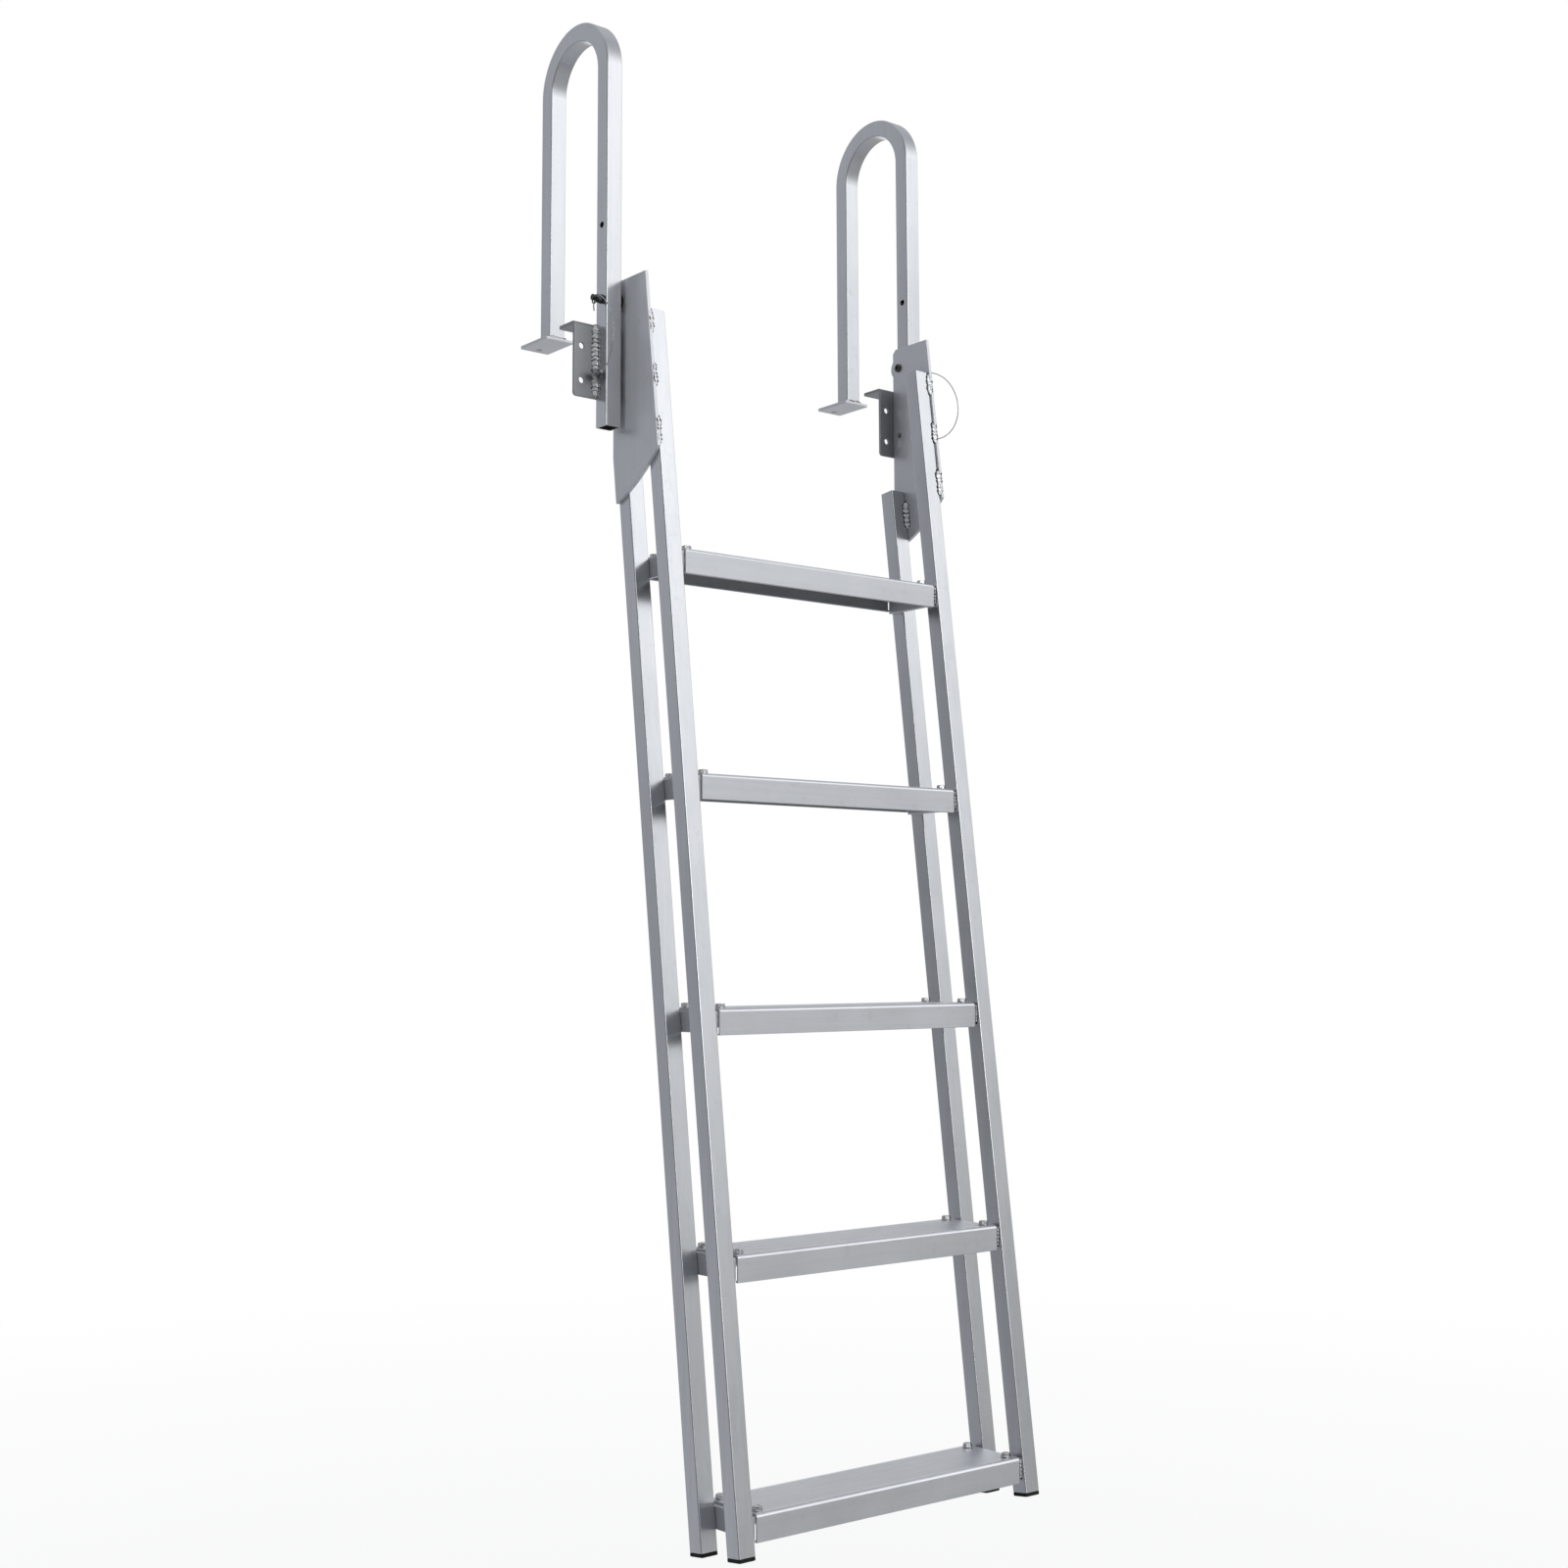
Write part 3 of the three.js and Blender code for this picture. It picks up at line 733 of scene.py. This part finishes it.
def foot_weld():
    """A bead round all four sides of the dock leg."""
    half = TUBE / 2
    beads = []
    for index, (dx, dy) in enumerate(((1, 0), (0, 1), (-1, 0), (0, -1))):
        along = Vector((-dy, dx, 0)) * (half + 2.5)
        middle = Vector((HANDLE_X + dx * half, DOCK_LEG_Y + dy * half, foot_high.z))
        beads.append(bead(middle - along, middle + along, (4.5 * dx, 4.5 * dy, 0), (0, 0, 4.5), 11.3 + index))
    return joined(beads)


def bracket_weld():
    """The long bead down the outer side of the water leg."""
    corner = Vector((HANDLE_OUT, -ANGLE_THICKNESS, 0))
    return bead(corner + Vector((0, 0, -99)), corner + Vector((0, 0, 3.5)), (7.5, 0, 0), (0, -7.0, 0), 4.2,
                ripple=6.2, outline=0.04)


# ---- Hinge and locks -------------------------------------------------------------------------------


def pivot_bolt_mesh():
    """Round head with a hexagon socket inside; a nut, a grooved neck and an end collar outside."""
    head, end = bolt_low.x, bolt_high.x
    seat, outside = PLATE_IN - GAP, HANDLE_OUT + GAP
    nut = outside + 1.2
    neck = nut + 6.5
    profile = [(head + 2.3, 1.6, 5.0), (head + 2.2, 2.88, 5.0), (head + 0.2, 2.88, 5.0),
               (head, 3.2, 0), (head, 4.6, 0), (head + 0.5, 5.6, 0), (head + 1.3, 6.2, 0),
               (seat - 0.4, 6.2, 0), (seat, 5.8, 0), (seat, 4.0, 0),
               (outside, 4.0, 0), (outside, 6.5, 0), (nut, 6.5, 0)]
    profile += hexagon(nut, 6.5, HEXAGON, (False, True))
    profile += thread(neck, neck + 4.9, 4.0)
    profile += [(end - 2.5, 3.9, 0), (end - 2.5, 4.2, 0), (end - 2.2, 4.4, 0), (end - 0.6, 4.4, 0),
                (end, 3.8, 0)]
    return turned(profile, "X", (0, WATER_LEG_Y, PIVOT_Z))


def pivot_washer_mesh():
    low, high = box_mm("pivot_washer_right")
    rings = []
    for x, radius in ((low.x, 11.3), (low.x + 0.7, 12), (high.x - 0.7, 12), (high.x, 11.3),
                      (high.x, 4.8), (high.x - 0.5, 4.3), (low.x + 0.5, 4.3), (low.x, 4.8)):
        rings.append([(x, WATER_LEG_Y + a, PIVOT_Z + b) for a, b in circle((0, 0), radius, 48)])
    return loft(rings, loop=True)


def lock_pin_mesh():
    """Collar against the tube, a neck for the lanyard's ring, and a grooved knob."""
    tip, end = pin_low.x, pin_high.x
    face = HANDLE_OUT + GAP
    knob = end - 7.5
    profile = [(tip, 3.2, 0), (tip + 0.8, 4.0, 0), (face, 4.0, 0), (face, 5.1, 0), (face + 0.4, 5.5, 0),
               (face + 2.8, 5.5, 0), (face + 3.2, 5.1, 0), (face + 3.2, 2.5, 0),
               (knob, 2.5, 0), (knob, 4.7, 0), (knob + 0.5, 5.2, 0)]
    for k in range(2):
        groove = knob + 1.5 + 2.2 * k
        profile += [(groove, 5.2, 0), (groove + 0.3, 4.6, 0), (groove + 0.9, 4.6, 0), (groove + 1.2, 5.2, 0)]
    profile += [(end - 0.6, 5.2, 0), (end, 4.6, 0), (end, 2.4, 0), (end - 1.0, 2.0, 0)]
    return turned(profile, "X", (0, WATER_LEG_Y, PIN_Z))


# ---- Side plates and rails ---------------------------------------------------------------------------


def side_plate_mesh():
    rear = -ANGLE_THICKNESS - GAP
    lug = acos((rear - WATER_LEG_Y) / LUG_RADIUS)
    tilt = tan(LEAN)
    rear_face = front_face_y(0) + (RAIL_PITCH + TUBE) / cos(LEAN)
    tip = Vector((rear_face + TIP_Z * tilt, TIP_Z))
    heel = Vector((front_face_y(HEEL_Z) - PLATE_PROUD, HEEL_Z))
    chord = tip - heel
    rise = sqrt(BELLY_RADIUS ** 2 - chord.length_squared / 4)
    centre = (heel + tip) / 2 + Vector((-chord.y, chord.x)).normalized() * rise
    start, end = (atan2((point - centre).y, (point - centre).x) for point in (heel, tip))
    outline = [(front_face_y(PLATE_TOP) - PLATE_PROUD, PLATE_TOP)]
    outline += arc(centre, BELLY_RADIUS, start, end, 28)
    outline += [(rear, (rear - rear_face) / tilt)]
    outline += arc((WATER_LEG_Y, PIVOT_Z), LUG_RADIUS, -lug, lug, 16)
    outline += [(rear, PLATE_TOP - PLATE_CHAMFER), (rear - PLATE_CHAMFER, PLATE_TOP)]
    holes = [circle((WATER_LEG_Y, z), SHANK_HOLE) for z in (PIVOT_Z, PIN_Z)]
    return slab(outline, holes, PLATE_OUT - PLATE_IN, 0.5, AXES["X"], ((PLATE_IN + PLATE_OUT) / 2, 0, 0))


RAIL_TURN = (Matrix.Translation((0, front_face_y(RAIL_FOOT_Z) * MM, RAIL_FOOT_Z * MM))
             @ Matrix.Rotation(-LEAN, 4, "X"))


def rail_mesh(place):
    length = RAIL_LENGTHS[place]
    centre = (RAIL_X, RAIL_DEPTHS[place])
    rings = [[(*point, z) for point in rounded_square(width, radius, centre)]
             for z, width, radius in (
                 (0, TUBE - 0.6, CORNER), (0.35, TUBE, CORNER), (length - 0.35, TUBE, CORNER),
                 (length, TUBE - 0.6, CORNER), (length, TUBE - 2 * WALL + 0.4, 0.9),
                 (length - 0.3, TUBE - 2 * WALL, 0.8), (0.3, TUBE - 2 * WALL, 0.8),
                 (0, TUBE - 2 * WALL + 0.4, 0.9))]
    mesh = loft(rings, loop=True)
    mesh.transform(RAIL_TURN)
    return mesh


def end_cap_mesh(place):
    centre = (RAIL_X, RAIL_DEPTHS[place])
    plug = TUBE - 2 * WALL - 2 * GAP
    steps = [(-4.8, TUBE - 2.4), (-4.5, TUBE - 1.0), (-3.9, TUBE), (-0.7, TUBE), (-0.3, TUBE - 0.5),
             (-0.3, plug)]
    for k in range(3):
        steps += [(2.5 + 3.6 * k, plug - 0.9), (3.1 + 3.6 * k, plug), (3.9 + 3.6 * k, plug)]
    steps += [(14.0, plug - 2.0)]
    mesh = loft([[(*point, z) for point in rounded_square(width, 1.4, centre)] for z, width in steps])
    mesh.transform(RAIL_TURN)
    return mesh


PLATE_WELDS = ((15, -20), (-62, -96), (-136, -176))


def plate_welds():
    """Stitch welds between side plate and rails, and one across the top of the front rail."""
    beads = []
    for index, (top, bottom) in enumerate(PLATE_WELDS):
        ends = [(PLATE_IN - 0.2, front_face_y(z) - 0.5, z) for z in (top, bottom)]
        beads.append(bead(*ends, (-5.5, 0, 0), (4.0, -3.2, 0), 20.5 + index, ripple=6.5))
    ends = [(PLATE_IN, rear_rail_face_y(z), z) for z in (-172, -216)]
    beads.append(bead(*ends, (-7.5, 0, 0), (0, -7.5, 0), 31.0, ripple=6.5, outline=0.12))
    ends = [(PLATE_IN - 0.2, front_face_y(z) + (RAIL_PITCH + TUBE) / cos(LEAN), z) for z in (-214, -240)]
    beads.append(bead(*ends, (-3.5, 0, 0), (2.5, 2.0, 0), 35.0))
    rail_y = front_face_y(RAIL_TOP)
    ends = [(PLATE_IN, rail_y + 2, RAIL_TOP), (PLATE_IN, rail_y + TUBE - 1, RAIL_TOP - TUBE * sin(LEAN))]
    beads.append(bead(*ends, (-4, 0, 0), (0, 0, 4), 38.0))
    return joined(beads)


# ---- Steps -------------------------------------------------------------------------------------------

SKIN, FLANGE, LIP, NOSE = 3.0, 2.5, 5.0, 5.0    # of the top, the flanges, their lips and the round edges
REAR_HEIGHT = 28.0               # of the rear flange, shorter than the front one
RIB_PITCH, RIB_DEPTH = 5.0, 0.3
# A step's second material is a darker copy of its metal, painted shade, and its third a lighter copy, painted
# light.
INSIDE, TREAD = 1, 2             # places of a step's second and third material
BRACKET_TOP, BRACKET_LEG = 4.0, 5.6


def step_outline(low, high, groove):
    """Cross-section in y and z from the front lip over the ribbed top and back inside."""
    front, back, top, bottom = low.y, high.y, high.z, low.z
    rear_bottom = top - REAR_HEIGHT
    outline = [(front + 0.5, bottom), (front, bottom + 0.5)]
    outline += arc((front + NOSE, top - NOSE), NOSE, pi, pi / 2, 8)
    ribs = int((back - front - 2 * NOSE - 2) / RIB_PITCH)
    first = (front + back - ribs * RIB_PITCH) / 2
    for k in range(ribs):
        y = first + k * RIB_PITCH
        outline += [(y + 0.4, top), (y + 0.8, top - RIB_DEPTH), (y + 1.5, top - RIB_DEPTH),
                    (y + 1.9, top - groove), (y + 4.6, top - groove)]
    outline += arc((back - NOSE, top - NOSE), NOSE, pi / 2, 0, 8)
    outline += [(back, rear_bottom + 0.5), (back - 0.5, rear_bottom), (back - LIP + 0.4, rear_bottom),
                (back - LIP, rear_bottom + 0.4), (back - LIP, rear_bottom + FLANGE),
                (back - FLANGE, rear_bottom + FLANGE)]
    outline += arc((back - FLANGE - 1.5, top - SKIN - 1.5), 1.5, 0, pi / 2, 3)
    outline += arc((front + FLANGE + 1.5, top - SKIN - 1.5), 1.5, pi / 2, pi, 3)
    outline += [(front + FLANGE, bottom + FLANGE), (front + LIP, bottom + FLANGE),
                (front + LIP, bottom + 0.4), (front + LIP - 0.4, bottom)]
    return outline


def step_mesh(number):
    """The channel, with notches across its ribs. Its inside gets a darker copy of its metal, painted shade,
    and its upward faces a lighter copy, painted light.
    """
    low, high = box_mm(f"step_{number}")
    notches = int((high.x - low.x - 6) / RIB_PITCH)
    first = (low.x + high.x - notches * RIB_PITCH) / 2
    stations = [(low.x, 0.0), (first - 1, 0.0)]
    for k in range(notches):
        x = first + k * RIB_PITCH
        stations += [(x, 0.0), (x + 0.7, 0.2), (x + 1.5, 0.2), (x + 2.2, 0.0)]
    stations.append((high.x, 0.0))
    mesh = loft([[(x, y, z) for y, z in step_outline(low, high, groove)] for x, groove in stations])
    inner_front, inner_back = low.y + FLANGE + 0.1, high.y - FLANGE - 0.1
    for face in mesh.polygons:
        centre, normal = face.center / MM, face.normal
        # Upward faces near the top take the lighter copy, painted light; faces inside the channel take the
        # darker copy, painted shade.
        if normal.z > 0.2 and centre.z > high.z - NOSE:
            face.material_index = TREAD
        within = inner_front < centre.y < inner_back and low.z + FLANGE < centre.z < high.z - SKIN + 0.1
        if ((within and abs(normal.x) < 0.9)
                or (abs(centre.y - inner_front) < 0.3 and normal.y > 0.9)
                or (abs(centre.y - inner_back) < 0.3 and normal.y < -0.9)):
            face.material_index = INSIDE
    return mesh


def step_bracket_mesh(number):
    low, high = box_mm(f"step_bracket_{number}_right")
    corner = Vector((high.x - BRACKET_LEG, high.z - BRACKET_TOP))
    corners = [(low.x, corner.y), tuple(corner), (corner.x, low.z),
               (high.x, low.z), (high.x, high.z), (low.x, high.z)]
    outline = rounded([(z, x) for x, z in corners], [1.2, 3.0, 1.2, 0.6, 1.0, 0.6])
    return slab(outline, [], high.y - low.y, 0.4, AXES["Y"], (0, (low.y + high.y) / 2, 0))


def bracket_beads(number):
    """Short upright beads between a step bracket and its two rails."""
    low, high = box_mm(f"step_bracket_{number}_right")
    beads = []
    for index, (y, facing) in enumerate(((low.y, -1), (high.y, 1))):
        ends = [(high.x, y, low.z + 1), (high.x, y, high.z - 1)]
        beads.append(bead(*ends, (-2.2, 0, 0), (0, 2.4 * facing, 0), 50.0 + number + index * 7))
    return joined(beads)


def step_bolt_mesh(node):
    low, high = box_mm(node)
    centre = (low + high) / 2
    washer = high.z - 4.2
    tread = washer - 1.2
    nut = low.z + 3.0
    profile = thread(nut, low.z, 3.0)[::-1]
    profile += hexagon(nut, 5.5, HEXAGON, (True, False))
    profile += [(nut + 5.5, 3.0, 0), (tread, 3.0, 0), (tread, 6.8, 0), (washer - 0.3, 6.8, 0),
                (washer, 6.5, 0)]
    profile += hexagon(washer, 4.2, HEXAGON, (False, True))
    profile += [(high.z, 4.0, 0), (high.z - 0.3, 3.6, 0)]
    return turned(profile, "Z", (centre.x, centre.y, 0))


# ---- The pieces ----------------------------------------------------------------------------------------

PAIRS = (
    ("handle_tube", "handles", handle_mesh, TUBE_METAL, "tube_aluminium"),
    ("foot_plate", "handles", foot_mesh, PLATE_METAL, "plate_aluminium"),
    ("dock_bracket", "handles", bracket_mesh, SHADED_BRACKET_METAL, "plate_aluminium"),
    ("pivot_bolt", "handles", pivot_bolt_mesh, DARK_STEEL, "fastener_steel"),
    ("pivot_washer", "handles", pivot_washer_mesh, BLACK_PLASTIC, "black_plastic"),
    ("side_plate", "ladder", side_plate_mesh, PLATE_METAL, "plate_aluminium"),
)
WELDS = (
    ("foot_weld", "handles", foot_weld),
    ("bracket_weld", "handles", bracket_weld),
    ("plate_weld", "ladder", plate_welds),
)


def make_side(side, sign):
    """All pieces of one side but the lanyards."""

    def add(name, mesh, body, metal, replaces=(), smooth=32.0):
        """A piece drawn for the right side, on this side."""
        finish_mesh(name, mirrored(mesh, sign), body, metal, replaces, smooth)

    for piece, body, build, metal, slot in PAIRS:
        add(f"{piece}_{side}_fine", build(), body, metal, [f"{piece}_{side}"])
    for piece, body, build in WELDS:
        add(f"{piece}_{side}", build(), body, WELD_METAL, smooth=WELD_SMOOTH)
    pin = f"lock_pin_{side}"
    add(f"{pin}_fine", lock_pin_mesh(), pin, PIN_STEEL, [pin])
    ring = wire_ring((pin_high.x - 9.5, WATER_LEG_Y - 1.4, PIN_Z - 0.8), 4.6, 0.55, 1.6)
    add(f"lock_pin_ring_{side}", ring, pin, DARK_STEEL)
    ring = wire_ring((bolt_high.x - 5.0, WATER_LEG_Y - 0.8, PIVOT_Z - 2.2), 6.6, 0.5, 1.6, 0.25)
    add(f"pivot_ring_{side}", ring, "handles", DARK_STEEL)
    for place in RAIL_LENGTHS:
        rail, cap = f"rail_{place}_{side}", f"end_cap_{place}_{side}"
        add(f"{rail}_fine", rail_mesh(place), "ladder", RAIL_METAL, [rail])
        add(f"{cap}_fine", end_cap_mesh(place), "ladder", BLACK_PLASTIC, [cap])
    for number in STEP_NUMBERS:
        bracket = f"step_bracket_{number}_{side}"
        add(f"{bracket}_fine", step_bracket_mesh(number), "ladder", PLATE_METAL, [bracket])
        add(f"bracket_beads_{number}_{side}", bracket_beads(number), "ladder", WELD_METAL,
            smooth=WELD_SMOOTH)
        for place in RAIL_LENGTHS:
            bolt = f"step_bolt_{number}_{place}_{side}"
            finish_mesh(f"{bolt}_fine", step_bolt_mesh(bolt), "ladder", BOLT_STEEL, [bolt])


for side_name, side_sign in SIDES.items():
    make_side(side_name, side_sign)
for step_number in STEP_NUMBERS:
    finish_mesh(f"step_{step_number}_fine", step_mesh(step_number), "ladder",
                [STEP_METAL, SHADED_INSIDE_METAL, LIT_TREAD_METAL], [f"step_{step_number}"])

# ---- Floor and light -------------------------------------------------------------------------------------

FLOOR_Z, FLOOR_HALF = -2.0, 30.0


def make_floor():
    """A plain pale floor that fades into the white surroundings far from the object."""
    mesh = bpy.data.meshes.new("floor")
    reach = FLOOR_HALF
    mesh.from_pydata([(-reach, -reach, FLOOR_Z), (reach, -reach, FLOOR_Z), (reach, reach, FLOOR_Z),
                      (-reach, reach, FLOOR_Z)], [], [(0, 1, 2, 3)])
    floor = bpy.data.objects.new("floor", mesh)
    bpy.context.scene.collection.objects.link(floor)
    nodes = Nodes("floor")
    nodes.shader.inputs["Base Color"].default_value = grey(0.9)
    nodes.shader.inputs["Roughness"].default_value = 0.9
    distance = nodes.add("ShaderNodeVectorMath", operation="LENGTH")
    nodes.join(nodes.place((1, 1, 0)), distance.inputs[0])
    glow = nodes.add("ShaderNodeEmission", Color=grey(1.0), Strength=1.0)
    clear = nodes.add("ShaderNodeBsdfTransparent")
    seen, shown = nodes.add("ShaderNodeMixShader"), nodes.add("ShaderNodeMixShader")
    nodes.join(nodes.range(distance.outputs["Value"], 0.85, 1.0, 0.8, 4.5), seen.inputs[0])
    nodes.join(nodes.shader.outputs[0], seen.inputs[1])
    nodes.join(glow.outputs[0], seen.inputs[2])
    nodes.join(nodes.add("ShaderNodeLightPath").outputs["Is Camera Ray"], shown.inputs[0])
    nodes.join(clear.outputs[0], shown.inputs[1])
    nodes.join(seen.outputs[0], shown.inputs[2])
    nodes.join(shown.outputs[0], nodes.tree.nodes["Material Output"].inputs["Surface"])
    mesh.materials.append(nodes.material)


# Brightness of the studio by height, -1 straight down to 1 straight up, on three sides of the object
FRONT_RIGHT = ((-1.0, 0.45), (-0.25, 0.46), (-0.10, 0.52), (0.02, 0.64), (0.10, 0.84), (0.20, 1.14),
               (0.28, 1.18), (0.36, 1.55), (0.43, 1.65), (0.50, 1.50), (0.7, 0.9), (1.0, 0.7))
BACK_RIGHT = ((-1.0, 0.45), (-0.2, 0.5), (0.0, 1.2), (0.10, 1.4), (0.20, 0.75), (0.3, 0.55), (0.5, 0.5),
              (1.0, 0.7))
LEFT = ((-1.0, 0.45), (-0.22, 0.48), (-0.12, 0.43), (-0.02, 0.36), (0.05, 0.38), (0.15, 0.47),
        (0.3, 0.48), (0.6, 0.5), (1.0, 0.7))
# Shares of that brightness by direction, -1 along -X to 1 along +X
LEFT_SHARE = ((-1.0, 0.75), (-0.75, 0.55), (-0.69, 0.68), (-0.65, 0.95), (-0.61, 1.25), (-0.57, 1.35),
              (-0.53, 1.0), (-0.45, 1.0), (1.0, 1.0))
FRONT_SHARE = ((-1.0, 1.0), (0.61, 1.0), (0.67, 0.88), (0.73, 0.78), (1.0, 0.8))
# And for the left side also -1 along -Y to 1 along +Y
LEFT_FRONT_SHARE = ((-1.0, 0.45), (-0.6, 0.5), (-0.2, 0.85), (0.1, 1.0), (1.0, 1.0))
LEFT_TINT, STUDIO_TINT = (0.97, 0.985, 1.04, 1.0), (0.96, 0.975, 1.0, 1.0)
STRIP_LEVEL = 4.0


def make_world():
    """A soft studio, bright at the front right and grey on the left, with a bright strip in front.

    The camera itself sees plain white.
    """
    world = bpy.data.worlds.new("studio")
    bpy.context.scene.world = world
    world.use_nodes = True
    tree = world.node_tree
    new, link = tree.nodes.new, tree.links.new
    coordinates = new("ShaderNodeTexCoord")
    axes = new("ShaderNodeSeparateXYZ")
    link(coordinates.outputs["Generated"], axes.inputs[0])

    def curve(value, stops):
        """A curve through levels at places from -1 to 1."""
        scaled = new("ShaderNodeMapRange")
        scaled.inputs["From Min"].default_value = -1.0
        link(value, scaled.inputs["Value"])
        ramp = new("ShaderNodeValToRGB")
        ramp.color_ramp.interpolation = "LINEAR"
        elements = ramp.color_ramp.elements
        while len(elements) < len(stops):
            elements.new(1.0)
        for element, (place, level) in zip(elements, stops):
            element.position = (place + 1) / 2
            element.color = (level, level, level, 1.0)
        link(scaled.outputs["Result"], ramp.inputs["Fac"])
        return ramp.outputs["Color"]

    def towards(direction, start, end):
        """From 0 to 1 as the cosine to a direction goes from start to end."""
        dot = new("ShaderNodeVectorMath")
        dot.operation = "DOT_PRODUCT"
        link(coordinates.outputs["Generated"], dot.inputs[0])
        dot.inputs[1].default_value = Vector(direction).normalized()
        scaled = new("ShaderNodeMapRange")
        scaled.interpolation_type = "SMOOTHSTEP"
        for key, value in (("From Min", start), ("From Max", end)):
            scaled.inputs[key].default_value = value
        link(dot.outputs["Value"], scaled.inputs["Value"])
        return scaled.outputs["Result"]

    def colour(value):
        node = new("ShaderNodeRGB")
        node.outputs[0].default_value = value
        return node.outputs[0]

    def blend(share, first, second, kind="MIX"):
        node = new("ShaderNodeMix")
        node.data_type, node.blend_type = "RGBA", kind
        node.clamp_result = False
        if isinstance(share, float):
            node.inputs[0].default_value = share
        else:
            link(share, node.inputs[0])
        link(first, node.inputs[6])
        link(second, node.inputs[7])
        return node.outputs[2]

    height = axes.outputs["Z"]
    left = blend(1.0, curve(height, LEFT), curve(axes.outputs["X"], LEFT_SHARE), "MULTIPLY")
    left = blend(1.0, left, curve(axes.outputs["Y"], LEFT_FRONT_SHARE), "MULTIPLY")
    left = blend(1.0, left, colour(LEFT_TINT), "MULTIPLY")
    front = blend(1.0, curve(height, FRONT_RIGHT), curve(axes.outputs["X"], FRONT_SHARE), "MULTIPLY")
    sides = blend(towards((0.62, 0.77, 0.0), 0.45, 0.9), left, curve(height, BACK_RIGHT))
    wide = blend(towards((0.62, -0.77, 0.0), 0.35, 0.85), sides, front)
    whole = blend(towards((-0.10, -0.97, 0.22), 0.955, 0.99), wide, colour(grey(STRIP_LEVEL)))
    background = tree.nodes["Background"]
    link(blend(1.0, whole, colour(STUDIO_TINT), "MULTIPLY"), background.inputs["Color"])
    white = new("ShaderNodeBackground")
    white.inputs["Color"].default_value = grey(1.0)
    rays = new("ShaderNodeLightPath")
    choose = new("ShaderNodeMixShader")
    link(rays.outputs["Is Camera Ray"], choose.inputs[0])
    link(background.outputs[0], choose.inputs[1])
    link(white.outputs[0], choose.inputs[2])
    link(choose.outputs[0], tree.nodes["World Output"].inputs["Surface"])


make_floor()
make_world()
bpy.context.scene.view_settings.view_transform = "Standard"
